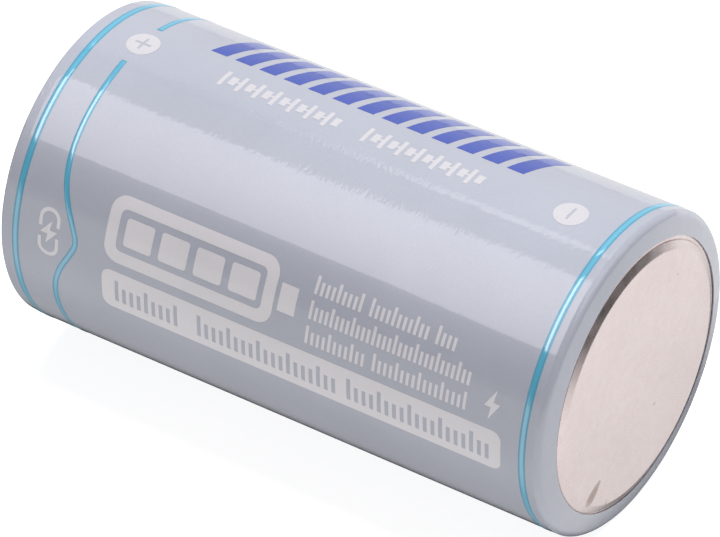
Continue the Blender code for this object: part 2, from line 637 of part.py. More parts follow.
def make_electrodes():
    """Wound electrodes on a mandrel tube, with an insulator at either end."""
    foil = make_material("electrode_foil", (0.25, 0.24, 0.24), 0.5, 0.5)
    steel = make_material("mandrel_steel", (0.60, 0.60, 0.60), 0.4, 1.0)
    sheet = make_material("insulator_sheet", (0.75, 0.70, 0.58), 0.7)
    growth = ROLL_RADIUS - ROLL_THICKNESS - ROLL_CORE_RADIUS
    turns = growth / ROLL_PITCH
    steps = round(turns * ROLL_STEPS_PER_TURN)
    rings = []
    for step in range(steps + 1):
        angle = math.tau * turns * step / steps
        inner = ROLL_CORE_RADIUS + growth * step / steps
        across = Vector((0.0, math.cos(angle), math.sin(angle)))
        ring = []
        for station, radius in ((ROLL_START, inner), (ROLL_START, inner + ROLL_THICKNESS),
                                (ROLL_END, inner + ROLL_THICKNESS), (ROLL_END, inner)):
            ring.append(across * radius + Vector((-station, 0.0, 0.0)))
        rings.append(ring)
    swept("jelly_roll", rings, foil, smooth=True)
    for name, start, end, hole, radius, segments, material in (
            ("centre_mandrel", ROLL_START, ROLL_END, MANDREL_BORE_RADIUS, MANDREL_RADIUS,
             SMALL_SEGMENTS, steel),
            ("lower_insulator", LOWER_INSULATOR_START, LOWER_INSULATOR_START + INSULATOR_WALL,
             LOWER_HOLE_RADIUS, INSULATOR_RADIUS, INNER_SEGMENTS, sheet),
            ("upper_insulator", UPPER_INSULATOR_START, UPPER_INSULATOR_START + INSULATOR_WALL,
             UPPER_HOLE_RADIUS, INSULATOR_RADIUS, INNER_SEGMENTS, sheet)):
        turned(name, [(start, hole), (start, radius), (end, radius), (end, hole)],
               segments, material)


def make_strips(end_frame):
    """Bent metal strips that carry the current."""
    nickel = make_material("strip_nickel", (0.75, 0.73, 0.70), 0.3, 1.0)
    metal = make_material("strip_aluminium", (0.84, 0.84, 0.85), 0.3, 1.0)
    half = STRIP_THICKNESS / 2

    # Folded strip between the inner cell's bottom and the outer can's bottom.
    low = CAN_WALL + GAP + half
    high = CELL_BOTTOM - GAP - half
    fold = (high - low) / 2
    path = [
        (NEGATIVE_TAB_REACH, low),
        (NEGATIVE_TAB_FOLD, low),
        (NEGATIVE_TAB_FOLD - fold, low + fold / 2),
        (NEGATIVE_TAB_FOLD - fold, high - fold / 2),
        (NEGATIVE_TAB_FOLD, high),
        (NEGATIVE_TAB_REACH, high),
    ]
    ribbon("battery_negative_tab", path, TAB_WIDTH, nickel, end_frame)

    # Strip from the inner cell's button to the underside of the board.
    low = TOP_CAP_BUTTON + GAP + half
    high = SOLDER_BOTTOM - half
    path = [
        (POSITIVE_TAB_START, low),
        (POSITIVE_TAB_RISE - STRIP_BEND, low),
        (POSITIVE_TAB_RISE, low + STRIP_BEND),
        (POSITIVE_TAB_RISE, high - STRIP_BEND),
        (POSITIVE_TAB_RISE + STRIP_BEND, high),
        (POSITIVE_TAB_REACH, high),
    ]
    ribbon("battery_positive_tab", path, TAB_WIDTH, nickel, end_frame)

    # Spring clip from the board's edge to the outer can's wall.
    foot = SOLDER_TOP + half
    reach = CAN_INSIDE - GAP - half
    path = [
        (CLIP_FOOT - reach, foot),
        (STRIP_BEND - reach, foot),
        (-reach, foot + STRIP_BEND),
        (-reach, foot + STRIP_BEND + CLIP_SPRING),
        (CLIP_SPRING - reach, foot + STRIP_BEND + 2 * CLIP_SPRING),
    ]
    ribbon("ground_clip", path, CLIP_WIDTH, nickel, end_frame)

    # Tab welded inside the inner cell's bottom.
    floor = CELL_BOTTOM + CELL_WALL + GAP + half
    side = INSULATOR_RADIUS + GAP
    path = [
        (ANODE_TAB_REACH, floor),
        (ANODE_TAB_BEND - side, floor),
        (-side, floor + ANODE_TAB_BEND),
        (-side, ROLL_START - GAP),
    ]
    ribbon("anode_tab", path, INNER_TAB_WIDTH, nickel, end_frame)

    # Tab from the roll's core up to the vent disc.
    vent = VENT_RIM - VENT_DISH_DEPTH - CLOSURE_WALL - GAP - half
    shelf = UPPER_INSULATOR_START + INSULATOR_WALL + GAP + half
    path = [
        (CATHODE_TAB_RISE, ROLL_END),
        (CATHODE_TAB_RISE, shelf - CATHODE_TAB_BEND),
        (CATHODE_TAB_RISE + CATHODE_TAB_BEND, shelf),
        (CATHODE_TAB_FOLD, shelf),
        (CATHODE_TAB_FOLD + CATHODE_TAB_BEND, (shelf + vent) / 2),
        (CATHODE_TAB_FOLD, vent),
        (CATHODE_TAB_REACH, vent),
    ]
    ribbon("cathode_tab", path, INNER_TAB_WIDTH, metal, end_frame)


def main():
    clear_scene()
    end_frame = make_end_frame()
    make_sleeve()
    make_outer_can()
    make_end_cap(end_frame)
    make_contact()
    make_port(end_frame)
    make_light_pipe(end_frame)
    make_board(end_frame)
    make_carrier_and_holder()
    make_inner_cell_shell()
    make_electrodes()
    make_strips(end_frame)


main()
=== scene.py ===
"""Looks of a C-size rechargeable cell: printed film sleeve, nickel can, cap with a port.

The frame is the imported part's. X is the cell's axis, the origin is the centre of the negative
contact face, +Z is up, -Y is the printed side, and lengths are metres. A station is the
distance from the negative contact face towards the positive end, so station s is at x = -s.
A turn is an angle about X: 0 faces -Y and a quarter turn faces +Z.
"""

import math

import bmesh
import bpy
from mathutils import Matrix, Vector, geometry, noise


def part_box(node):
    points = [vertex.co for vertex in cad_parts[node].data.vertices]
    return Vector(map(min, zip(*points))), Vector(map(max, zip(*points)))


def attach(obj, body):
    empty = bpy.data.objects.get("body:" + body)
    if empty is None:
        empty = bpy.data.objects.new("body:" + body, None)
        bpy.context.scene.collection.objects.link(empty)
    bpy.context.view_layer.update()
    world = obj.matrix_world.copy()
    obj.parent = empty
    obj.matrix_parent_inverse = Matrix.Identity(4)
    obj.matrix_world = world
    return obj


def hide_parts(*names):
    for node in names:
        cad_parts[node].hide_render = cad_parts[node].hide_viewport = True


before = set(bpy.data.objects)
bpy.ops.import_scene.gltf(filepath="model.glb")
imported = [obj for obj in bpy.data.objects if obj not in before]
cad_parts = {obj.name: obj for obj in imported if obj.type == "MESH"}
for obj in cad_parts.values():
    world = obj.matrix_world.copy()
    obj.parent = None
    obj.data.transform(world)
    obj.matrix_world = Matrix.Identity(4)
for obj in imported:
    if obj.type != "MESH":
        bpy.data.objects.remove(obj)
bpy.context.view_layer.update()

MM = 0.001
SHARP_ANGLE = math.radians(32)
ROUND_SEGMENTS = 360
CAP_SEGMENTS = 240
CONTACT_SEGMENTS = 96
PIPE_SEGMENTS = 48

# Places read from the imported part
BODY_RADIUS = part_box("label_sleeve")[1].z
POSITIVE_EDGE = -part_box("label_sleeve")[0].x
NEGATIVE_LIP = -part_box("label_sleeve")[1].x
CONTACT_TOP = -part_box("positive_contact")[0].x
CONTACT_BOTTOM = -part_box("positive_contact")[1].x
CAP_FACE = -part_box("end_cap")[0].x
CAP_SKIRT_END = -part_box("end_cap")[1].x
PORT_MOUTH = -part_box("port_shell")[0].x
PORT_BACK = -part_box("port_shell")[1].x
TONGUE_TIP = -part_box("port_tongue")[0].x
PORT_CENTRE = sum(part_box("port_shell"), Vector()) / 2
PIPE_CENTRE = sum(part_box("light_pipe"), Vector()) / 2
PIPE_BOTTOM = -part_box("light_pipe")[1].x

# Film sleeve: a thin wall with ink on it, inside the CAD sleeve's outer surface
FILM_RADIUS = BODY_RADIUS - 0.04 * MM
FILM_WALL = 0.09 * MM
INK_HEIGHT = 0.015 * MM
INK_ROOT = 0.02 * MM
LINE_HEIGHT = 0.025 * MM
CREASE_RADIUS = 0.15 * MM
CREASE_TURN = math.radians(30)
NEGATIVE_ROUND = 0.95 * MM
NEGATIVE_SLOPE = math.radians(12)
NEGATIVE_EDGE = NEGATIVE_LIP + 0.288 * MM
POSITIVE_ROUND = 0.72 * MM
NEGATIVE_HOLE_RADIUS = 10.86 * MM
POSITIVE_HOLE_RADIUS = 10.65 * MM
POSITIVE_TAPER = 0.055 * MM
POSITIVE_TAPER_LENGTH = 0.645 * MM
HOLE_OFFSET = 0.13 * MM
HOLE_OFFSET_TURN = math.radians(150)
SEAM_TURN = math.radians(-80.5)
SEAM_WIDTH = math.radians(19)
SEAM_HEIGHT = 0.015 * MM
FILM_RINGS = 40

# Nickel can
CAN_GAP = 0.03 * MM
BOSS_FLAT_RADIUS = 9.97 * MM
BOSS_RADIUS = 10.6 * MM
BOSS_DROP = 0.27 * MM
CAN_INSIDE = 12.25 * MM
CAN_WALL = 0.3 * MM
CAN_FLOOR = 1.1 * MM
CRIMP_RADIUS = 10.95 * MM

# Moulded cap, contact and port
CAP_FACE_RADIUS = 10.35 * MM
CAP_SHOULDER = 47.95 * MM
CAP_SKIRT_RADIUS = 11.95 * MM
CAP_BORE_RADIUS = 10.7 * MM
CAP_INSIDE = 46.6 * MM
CONTACT_SEAT = CONTACT_BOTTOM - 0.3 * MM
CONTACT_SEAT_RADIUS = 4.7 * MM
POST_HOLE_RADIUS = 1.2 * MM
NUB_RADIUS = 3.2 * MM
CONTACT_WALL = 0.35 * MM
FLANGE_RADIUS = 4.4 * MM
PORT_WIDTH = 8.94 * MM
PORT_HEIGHT = 3.26 * MM
PORT_WALL = 0.3 * MM
WINDOW_MARGIN = 0.28 * MM
TONGUE_WIDTH = 6.69 * MM
TONGUE_THICKNESS = 0.7 * MM
PIPE_RADIUS = 0.8 * MM
PIPE_HOLE_RADIUS = 1.1 * MM

# Camera and studio
CAMERA_AZIMUTH = math.radians(34.18)
CAMERA_ELEVATION = math.radians(37.35)
CAMERA_DISTANCE = 0.42
CAMERA_LENS = 280.7
CAMERA_TARGET = Vector((-24.65 * MM, 0.0, 0.0))
CAMERA_NUDGE = (0.106 * MM, -0.414 * MM)
CARD_DISTANCE = 0.5
WHITE = (1.0, 1.0, 1.0)
BLACK = (0.0, 0.0, 0.0)
FLOOR_SHEEN = 1.05


# ---- materials

class Paint:
    """A Principled material and short ways to build the nodes that feed it."""

    def __init__(self, name, **values):
        self.material = bpy.data.materials.new(name)
        self.material.use_nodes = True
        self.nodes = self.material.node_tree.nodes
        self.links = self.material.node_tree.links
        self.shader = self.nodes["Principled BSDF"]
        self.place = self.nodes.new("ShaderNodeTexCoord").outputs["Object"]
        for socket, value in values.items():
            self.shader.inputs[socket.replace("_", " ")].default_value = value

    def feed(self, socket, value):
        """Join a socket to another, or give it a plain value."""
        if hasattr(value, "links"):
            self.links.new(value, socket)
        elif value is not None:
            socket.default_value = value

    def node(self, kind, output, settings=None, **inputs):
        """An output of a new node, whose inputs are fed with sockets or plain values."""
        node = self.nodes.new("ShaderNode" + kind)
        for name, value in (settings or {}).items():
            setattr(node, name, value)
        for name, value in inputs.items():
            self.feed(node.inputs[name.replace("_", " ")], value)
        return node.outputs[output]

    def stretched(self, scale, turn=(0.0, 0.0, 0.0), shift=(0.0, 0.0, 0.0)):
        """Object coordinates with their own scale, turn and shift."""
        return self.node("Mapping", "Vector", {"vector_type": "TEXTURE"}, Vector=self.place,
                         Scale=scale, Rotation=turn, Location=shift)

    def part_of_place(self, axis):
        """One of the three object coordinates."""
        return self.node("SeparateXYZ", axis, Vector=self.place)

    def sum_up(self, operation, first, second):
        """The result of a sum on two sockets or numbers."""
        result = self.node("Math", "Value", {"operation": operation})
        for socket, value in zip(result.node.inputs, (first, second)):
            self.feed(socket, value)
        return result

    def soft_step(self, axis, start, end, first=0.0, last=1.0):
        """A soft step between two values, from start to end along an axis."""
        return self.node("MapRange", "Result", {"interpolation_type": "SMOOTHSTEP"},
                         Value=self.part_of_place(axis), From_Min=start, From_Max=end,
                         To_Min=first, To_Max=last)

    def unrolled(self, along, round_):
        """Coordinates along and round the cell, with a feature size for each."""
        turn = self.sum_up("ARCTAN2", self.part_of_place("Y"), self.part_of_place("Z"))
        both = self.node("CombineXYZ", "Vector", X=self.part_of_place("X"), Y=turn)
        return self.node("Mapping", "Vector", Vector=both,
                         Scale=(1.0 / along, BODY_RADIUS / round_, 1.0))

    def noise(self, size, detail=2.0, place=None):
        """Cloudy values with features of about the given size."""
        return self.node("TexNoise", "Fac", Vector=place or self.place, Scale=1.0 / size,
                         Detail=detail)

    def cells(self, size):
        """Distance from the nearest of many scattered points."""
        return self.node("TexVoronoi", "Distance", Vector=self.place, Scale=1.0 / size)

    def spot(self, y, z, wide, tall):
        """1 at the middle of a soft oval spot on an end face and 0 outside it."""
        return self.node("TexGradient", "Fac", {"gradient_type": "SPHERICAL"},
                         Vector=self.stretched((1.0, wide, tall), shift=(0.0, y, z)))

    def ramp(self, value, stops):
        """Colours or greys along a value."""
        result = self.node("ValToRGB", "Color", Fac=value)
        band = result.node.color_ramp.elements
        while len(band) < len(stops):
            band.new(0.5)
        for element, (position, colour) in zip(band, stops):
            element.position = position
            element.color = (*colour, 1.0) if hasattr(colour, "__len__") else (*[colour] * 3, 1.0)
        return result

    def between(self, value, first, last, start=0.3, end=0.7):
        """A ramp from one colour or grey to another."""
        return self.ramp(value, [(start, first), (end, last)])

    def shaded(self, value, colour, dark, light, start=0.3, end=0.7):
        """A colour made darker to lighter along a value."""
        return self.between(value, shade(colour, dark), shade(colour, light), start, end)

    def mix(self, factor, first, second, mode="MIX"):
        """Blend of two colours."""
        node = self.nodes.new("ShaderNodeMix")
        node.data_type = "RGBA"
        node.blend_type = mode
        for name, value in (("Factor", factor), ("A", first), ("B", second)):
            self.feed([item for item in node.inputs if item.name == name and item.enabled][0], value)
        return [item for item in node.outputs if item.enabled][0]

    def bump(self, height, depth, below=None):
        """Relief of a given depth, on top of an earlier one."""
        return self.node("Bump", "Normal", Strength=1.0, Distance=depth, Height=height,
                         Normal=below)

    def join(self, source, socket):
        """Feed a socket of the shader."""
        self.feed(self.shader.inputs[socket], source)

    def colour(self, source):
        self.join(source, "Base Color")

    def roughness(self, value, first, last, start=0.3, end=0.7):
        """Roughness that goes from one figure to another along a value."""
        self.join(self.between(value, first, last, start, end), "Roughness")

    def relief(self, height, depth, below=None, coat=False):
        """The surface's relief, and its clear coat's where it has one."""
        normal = self.bump(height, depth, below)
        self.join(normal, "Normal")
        if coat:
            self.join(normal, "Coat Normal")


def shade(colour, factor):
    """A colour made lighter or darker."""
    return tuple(min(channel * factor, 1.0) for channel in colour)


def film_finish(name, colour, roughness=0.4, contrast=0.03):
    """Glossy shrunk film or the ink under its gloss, with soft cloudiness and pearl specks.

    The film is drawn into fine ripples across the cell, strongest along its top.
    """
    paint = Paint(name, Coat_Weight=1.0, Coat_Roughness=0.035, Coat_IOR=1.5)
    cloud = paint.shaded(paint.noise(9.0 * MM, 3.0), colour, 1.0 - contrast, 1.0 + contrast)
    speck = paint.between(paint.noise(0.11 * MM, 1.0), 0.45, 0.55, 0.35, 0.65)
    paint.colour(paint.mix(0.22, cloud, speck, "OVERLAY"))
    paint.roughness(paint.noise(0.6 * MM), roughness - 0.05, roughness + 0.05)
    peel = paint.bump(paint.noise(1.8 * MM, 1.0), 0.0012 * MM)
    ripples = paint.noise(1.0, 0.0, paint.unrolled(0.21 * MM, 0.45 * MM))
    faint = paint.between(ripples, 0.44, 0.56, 0.0, 1.0)
    upper = paint.soft_step("Z", 9.2 * MM, 10.4 * MM)
    paint.relief(paint.mix(upper, faint, ripples), 0.0095 * MM, peel, coat=True)
    return paint.material


def foil_line_finish(name, colour):
    """Bright coloured foil, which mirrors more of the room than the film does."""
    paint = Paint(name, Coat_Weight=1.0, Coat_Roughness=0.06, Coat_IOR=2.35)
    paint.colour(paint.shaded(paint.noise(4.0 * MM), colour, 0.97, 1.04))
    paint.roughness(paint.noise(0.5 * MM), 0.3, 0.4)
    ripples = paint.noise(1.0, 2.0, paint.unrolled(0.3 * MM, 1.6 * MM))
    paint.relief(ripples, 0.004 * MM, coat=True)
    return paint.material


def nickel_finish(name, colour, roughness, grain, depth, marked=False):
    """Matt nickel plate with a fine grain, faint clouds and, on the contact face, marks."""
    paint = Paint(name, Metallic=1.0)
    tone = paint.shaded(paint.noise(5.0 * MM, 4.0), colour, 0.97, 1.03, 0.25, 0.75)
    specks = paint.between(paint.noise(grain, 3.0), 0.40, 0.60)
    tone = paint.mix(0.6, tone, specks, "OVERLAY")
    mottle = paint.between(paint.noise(0.9 * MM, 3.0), 0.47, 0.53, 0.35, 0.65)
    tone = paint.mix(0.6, tone, mottle, "OVERLAY")
    if marked:
        tone = contact_marks(paint, tone, colour)
    paint.colour(tone)
    paint.roughness(paint.noise(2.5 * MM, 3.0), roughness - 0.05, roughness + 0.06)
    brushed = paint.noise(0.5 * MM, 2.0, paint.stretched((1.0, 0.35, 9.0)))
    fine = paint.bump(paint.noise(grain, 2.0), depth)
    paint.relief(brushed, depth * 0.35, fine)
    return paint.material


def contact_marks(paint, tone, colour):
    """A rubbed scuff near the edge of the contact face, and three pits."""
    for share, size in ((0.0, 0.52), (0.2, 0.56), (0.4, 0.50), (0.6, 0.38), (0.8, 0.24)):
        mark = paint.spot((-6.3 + 1.5 * share) * MM, (-7.3 + 1.1 * share) * MM,
                          1.15 * size * MM, size * MM)
        tone = paint.mix(paint.between(mark, 0.0, 0.65, 0.0, 0.25), tone,
                         (0.34, 0.26, 0.24, 1.0))
    for y, z, size in ((2.4, -4.0, 0.22), (-4.0, -9.0, 0.16), (5.1, 6.3, 0.12)):
        pit = paint.spot(y * MM, z * MM, size * MM, size * MM)
        tone = paint.mix(paint.between(pit, 0.0, 0.5, 0.0, 0.5), tone,
                         (*shade(colour, 0.5), 1.0))
    return tone


def moulded_finish(name, colour, roughness=0.45, grain=0.12 * MM, depth=0.003 * MM):
    """Moulded plastic with a fine spark-eroded grain and slight flow clouds."""
    paint = Paint(name)
    paint.colour(paint.shaded(paint.noise(6.0 * MM, 3.0), colour, 0.94, 1.05))
    paint.roughness(paint.noise(0.8 * MM), roughness - 0.06, roughness + 0.06)
    paint.relief(paint.noise(grain), depth)
    return paint.material


def metal_finish(name, colour, roughness, along):
    """Bright rolled or drawn metal with fine streaks along one axis."""
    paint = Paint(name, Metallic=1.0)
    stretch = [12.0 if axis == along else 1.0 for axis in "XYZ"]
    lines = paint.noise(0.15 * MM, 3.0, paint.stretched(stretch))
    paint.colour(paint.shaded(lines, colour, 0.93, 1.05))
    paint.roughness(lines, roughness - 0.07, roughness + 0.07)
    paint.relief(lines, 0.001 * MM)
    return paint.material


def foam_finish(name, colour):
    """Open-celled foam, with painted shade darkening each pore."""
    paint = Paint(name)
    pores = paint.cells(0.35 * MM)
    # Painted shade: darker towards each pore's centre, where the relief sinks into a hollow.
    paint.colour(paint.shaded(pores, colour, 0.45, 1.3, 0.1, 0.6))
    paint.roughness(pores, 1.0, 0.85, 0.1, 0.6)
    paint.relief(pores, 0.15 * MM)
    return paint.material


def board_finish(name, colour):
    """Green laminate with tracks under the solder mask and its glass weave."""
    paint = Paint(name, Coat_Weight=0.6, Coat_Roughness=0.15)
    place = paint.stretched((1.0, 1.0, 1.0), turn=(0.0, math.radians(90), 0.0))
    tracks = paint.node("TexBrick", "Color", Vector=place, Scale=1.0 / (2.2 * MM),
                        Mortar_Size=0.09, Color1=(*colour, 1.0),
                        Color2=(*shade(colour, 0.85), 1.0), Mortar=(*shade(colour, 1.9), 1.0))
    weave = paint.between(paint.noise(0.3 * MM, 1.0), 0.45, 0.55)
    paint.colour(paint.mix(0.5, tracks, weave, "OVERLAY"))
    paint.roughness(paint.noise(0.5 * MM), 0.35, 0.5)
    paint.relief(tracks.node.outputs["Fac"], 0.02 * MM)
    return paint.material


def foil_finish(name, dark, bright):
    """Edges of wound electrode foils: coated black with copper and aluminium glints."""
    paint = Paint(name, Metallic=0.35)
    lines = paint.noise(0.12 * MM, 3.0, paint.stretched((20.0, 1.0, 1.0)))
    paint.colour(paint.between(lines, dark, bright, 0.42, 0.62))
    paint.roughness(lines, 0.7, 0.35, 0.4, 0.65)
    paint.relief(lines, 0.01 * MM)
    return paint.material


def speckled_finish(name, colour, speck, size, roughness=0.55):
    """Sintered or filled material with scattered specks."""
    paint = Paint(name)
    grains = paint.cells(size)
    paint.colour(paint.ramp(grains, [(0.12, speck), (0.3, colour), (0.9, shade(colour, 0.8))]))
    paint.roughness(grains, roughness - 0.15, roughness, 0.1, 0.5)
    paint.relief(grains, 0.006 * MM)
    return paint.material


def clear_finish(name, colour):
    """Clear moulded plastic with a faint haze."""
    paint = Paint(name, Transmission_Weight=0.85, IOR=1.49)
    haze = paint.noise(0.5 * MM)
    paint.colour(paint.shaded(haze, colour, 0.93, 1.0))
    paint.roughness(haze, 0.08, 0.2)
    paint.relief(haze, 0.001 * MM)
    return paint.material


# ---- shapes

def on_cell(station, radius, turn):
    """The point at a station, a distance from the axis and a turn about it."""
    return Vector((-station, -radius * math.cos(turn), radius * math.sin(turn)))


def wobble(turn, size, seed):
    """A smooth random value from -1 to 1 that closes round the cell."""
    return noise.noise(Vector((math.cos(turn), math.sin(turn), 0.0)) * size
                       + Vector((0.0, 0.0, seed)))


def add_object(name, data):
    """A new object in the scene."""
    added = bpy.data.objects.new(name, data)
    bpy.context.scene.collection.objects.link(added)
    return added


def mesh_from(name, bm):
    """A mesh with its faces turned outwards."""
    bmesh.ops.recalc_face_normals(bm, faces=bm.faces)
    mesh = bpy.data.meshes.new(name)
    bm.to_mesh(mesh)
    bm.free()
    return mesh


def make_piece(name, bm, material, stands_for=()):
    """Turn a bmesh into a piece of the object, riding on the part's only body."""
    mesh = mesh_from(name, bm)
    mesh.shade_smooth()
    mesh.set_sharp_from_angle(angle=SHARP_ANGLE)
    mesh.materials.append(material)
    piece = add_object(name, mesh)
    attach(piece, "root")
    if stands_for:
        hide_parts(*stands_for)
    return piece


def skinned(loops, ring=True):
    """A closed solid skinned over loops of points, in a ring or with two end faces."""
    bm = bmesh.new()
    rows = [[bm.verts.new(point) for point in loop] for loop in loops]
    following = rows[1:] + rows[:1] if ring else rows[1:]
    for near, far in zip(rows, following):
        for index in range(len(near)):
            after = (index + 1) % len(near)
            bm.faces.new((near[index], near[after], far[after], far[index]))
    if not ring:
        bm.faces.new(rows[0])
        bm.faces.new(rows[-1])
    return bm


def revolved(outline, segments):
    """A closed outline of (station, radius) points turned about the cell's axis."""
    turns = [math.tau * step / segments for step in range(segments)]
    bm = skinned([[on_cell(station, radius, turn) for station, radius in outline]
                  for turn in turns])
    bmesh.ops.remove_doubles(bm, verts=bm.verts, dist=0.0001 * MM)
    return bm


def filleted(outline, radius, steps=4, keep=()):
    """A closed outline with its corners rounded, except the ones whose index is in keep."""
    points = []
    for index, corner in enumerate(outline):
        here = Vector(corner)
        before = Vector(outline[index - 1]) - here
        after = Vector(outline[(index + 1) % len(outline)]) - here
        reach = min(radius, before.length * 0.45, after.length * 0.45)
        if index in keep or reach == 0.0:
            points.append(tuple(here))
            continue
        start = here + before.normalized() * reach
        end = here + after.normalized() * reach
        for step in range(steps + 1):
            t = step / steps
            points.append(tuple(start.lerp(here, t).lerp(here.lerp(end, t), t)))
    return points


def sleeve_end(edge, side, radius, slope, hole_radius, inset):
    """Outline of one end of the film at an inset from its surface, from hole to side.

    side is 1 at the negative end and -1 at the positive end. The side turns through a
    tight crease, then a wide arc, then runs in to the hole along the lip.
    """
    last = math.pi / 2 - slope
    beyond = (CREASE_RADIUS - radius) * math.sin(CREASE_TURN)
    crease = edge + side * (beyond + radius * math.sin(last))
    centre = (crease - side * beyond,
              FILM_RADIUS - CREASE_RADIUS + (CREASE_RADIUS - radius) * math.cos(CREASE_TURN))
    wide = []
    for step in range(13):
        angle = last + (CREASE_TURN - last) * step / 12
        wide.append((centre[0] - side * (radius - inset) * math.sin(angle),
                     centre[1] + (radius - inset) * math.cos(angle)))
    first, height_in = wide[0]
    run = height_in - hole_radius
    lip = [(first - side * run * share * math.tan(slope), height_in - run * share)
           for share in (1.0, 0.97, 0.6, 0.2)]
    bend = max(CREASE_RADIUS - inset, 0.01 * MM)
    tight = []
    for step in range(1, 5):
        angle = CREASE_TURN * (1.0 - step / 4)
        tight.append((crease - side * bend * math.sin(angle),
                      FILM_RADIUS - inset - bend + bend * math.cos(angle)))
    return lip + wide + tight


def negative_end(hole_radius, inset):
    """Outline of the film's negative end, from hole to side."""
    return sleeve_end(NEGATIVE_EDGE, 1, NEGATIVE_ROUND, NEGATIVE_SLOPE, hole_radius, inset)


def positive_end(hole_radius, inset):
    """Outline of the film's positive end, from hole to side."""
    return sleeve_end(POSITIVE_EDGE, -1, POSITIVE_ROUND, 0.0, hole_radius, inset)


def seam_lift(turn):
    """Extra height of the film where its two edges overlap along the underside."""
    past = (SEAM_TURN - turn) % math.tau
    if past > SEAM_WIDTH:
        return 0.0
    fade = min((SEAM_WIDTH - past) / math.radians(2.5), 1.0)
    return SEAM_HEIGHT * fade * fade * (3.0 - 2.0 * fade)


def film_outline(turn):
    """Closed outline of the film at one turn: outside, negative hole, inside, positive hole."""
    ragged = 0.035 * MM * wobble(turn, 3.0, 1.7) + 0.02 * MM * wobble(turn, 14.0, 5.2)
    wrinkle = 0.006 * MM * wobble(turn, 9.0, 2.6) + 0.003 * MM * wobble(turn, 30.0, 8.1)
    negative_hole = NEGATIVE_HOLE_RADIUS + HOLE_OFFSET * math.cos(turn - HOLE_OFFSET_TURN) + ragged
    positive_hole = POSITIVE_HOLE_RADIUS + ragged
    lift = seam_lift(turn)
    near = negative_end(negative_hole, -lift - wrinkle)
    far = positive_end(positive_hole, POSITIVE_TAPER - lift - wrinkle)
    first = far[-1][0] - POSITIVE_TAPER_LENGTH
    last = near[-1][0]
    side = [(first + 0.03 * MM, FILM_RADIUS + lift - 0.004 * MM)]
    for step in range(FILM_RINGS + 1):
        station = first + (last - first) * (0.001 + 0.993 * step / FILM_RINGS)
        side.append((station, FILM_RADIUS + lift))
    inside = negative_end(negative_hole, FILM_WALL) + positive_end(positive_hole, FILM_WALL)[::-1]
    return far + side + near[::-1] + inside


def make_film():
    """The shrunk film sleeve with its turned-in lips and the overlap under the cell."""
    turns = [math.tau * step / ROUND_SEGMENTS for step in range(ROUND_SEGMENTS)]
    edge = SEAM_TURN % math.tau
    turns += [edge - math.radians(0.03), edge + math.radians(0.03)]
    loops = [[on_cell(station, radius, turn) for station, radius in film_outline(turn)]
             for turn in sorted(turns)]
    film = film_finish("printed_film", (0.341, 0.353, 0.416))
    return make_piece("sleeve_film", skinned(loops), film, ["label_sleeve"])


# ---- artwork
# Artwork is drawn on the unrolled film in millimetres: the first value is x along the cell,
# and the second is the height round it, which is the turn times the body's radius.

ROUND = BODY_RADIUS / MM            # millimetres of height per radian of turn
BEND_STEP = math.radians(1.5) * ROUND
PRINT_LEFT = -39.1


def height(degrees):
    """Height on the unrolled film of a turn in degrees."""
    return math.radians(degrees) * ROUND


def rectangle(left, right, low, high, lean=0.0):
    """A rectangle, or with a lean a parallelogram whose top is shifted sideways."""
    return [(left, low), (right, low), (right + lean, high), (left + lean, high)]


def rounded(left, right, low, high, radius):
    """A rectangle with round corners."""
    points = []
    for x, y, start in ((right - radius, high - radius, 0), (left + radius, high - radius, 90),
                        (left + radius, low + radius, 180), (right - radius, low + radius, 270)):
        for step in range(9):
            angle = math.radians(start + 90 * step / 8)
            points.append((x + radius * math.cos(angle), y + radius * math.sin(angle)))
    return points


def disc(x, y, radius):
    """A circle."""
    turns = [math.tau * step / 48 for step in range(48)]
    return [(x + radius * math.cos(turn), y + radius * math.sin(turn)) for turn in turns]


def cross(x, y, arm, half):
    """A plus sign with arms of the given length and half width."""
    points = []
    across, up = 1, 0
    for _ in range(4):
        for out, aside in ((arm, -half), (arm, half), (half, half)):
            points.append((x + out * across - aside * up, y + out * up + aside * across))
        across, up = -up, across
    return points


def flash(x, y, width, tall):
    """A lightning bolt as wide and tall as given, centred on a point."""
    half = [(0.16, 0.5), (-0.5, -0.08), (-0.06, -0.08)]
    outline = half + [(-a, -b) for a, b in half]
    return [(x + a * width, y + b * tall) for a, b in outline]


def filled(solids, holes):
    """Points and triangles of the solids less the holes, cut into strips that bend."""
    points = []
    faces = []
    for outline in list(solids) + list(holes):
        faces.append(list(range(len(points), len(points) + len(outline))))
        points += [Vector(point) for point in outline]
    left = min(point.x for point in points) - 1.0
    right = max(point.x for point in points) + 1.0
    low = math.floor(min(point.y for point in points) / BEND_STEP)
    high = math.ceil(max(point.y for point in points) / BEND_STEP)
    edges = []
    for row in range(low, high + 1):
        edges.append((len(points), len(points) + 1))
        points += [Vector((left, row * BEND_STEP)), Vector((right, row * BEND_STEP))]
    result = geometry.delaunay_2d_cdt(points, edges, faces, 0, 1e-5)
    corners, triangles, owners = result[0], result[2], result[5]
    kept = [tuple(triangle) for triangle, inside in zip(triangles, owners)
            if inside and max(inside) < len(solids)]
    return corners, kept


def outward(point):
    """The direction straight out from the cell's axis at a point."""
    return Vector((0.0, point.y, point.z)).normalized()


def round_normals(mesh):
    """Shade the top and underside of a layer of ink like the cylinder it lies on."""
    normals = [None] * len(mesh.loops)
    for polygon in mesh.polygons:
        facing = polygon.normal.dot(outward(polygon.center))
        for loop in polygon.loop_indices:
            normals[loop] = polygon.normal
            if abs(facing) > 0.9:
                corner = mesh.vertices[mesh.loops[loop].vertex_index].co
                normals[loop] = outward(corner) * math.copysign(1.0, facing)
    mesh.normals_split_custom_set(normals)


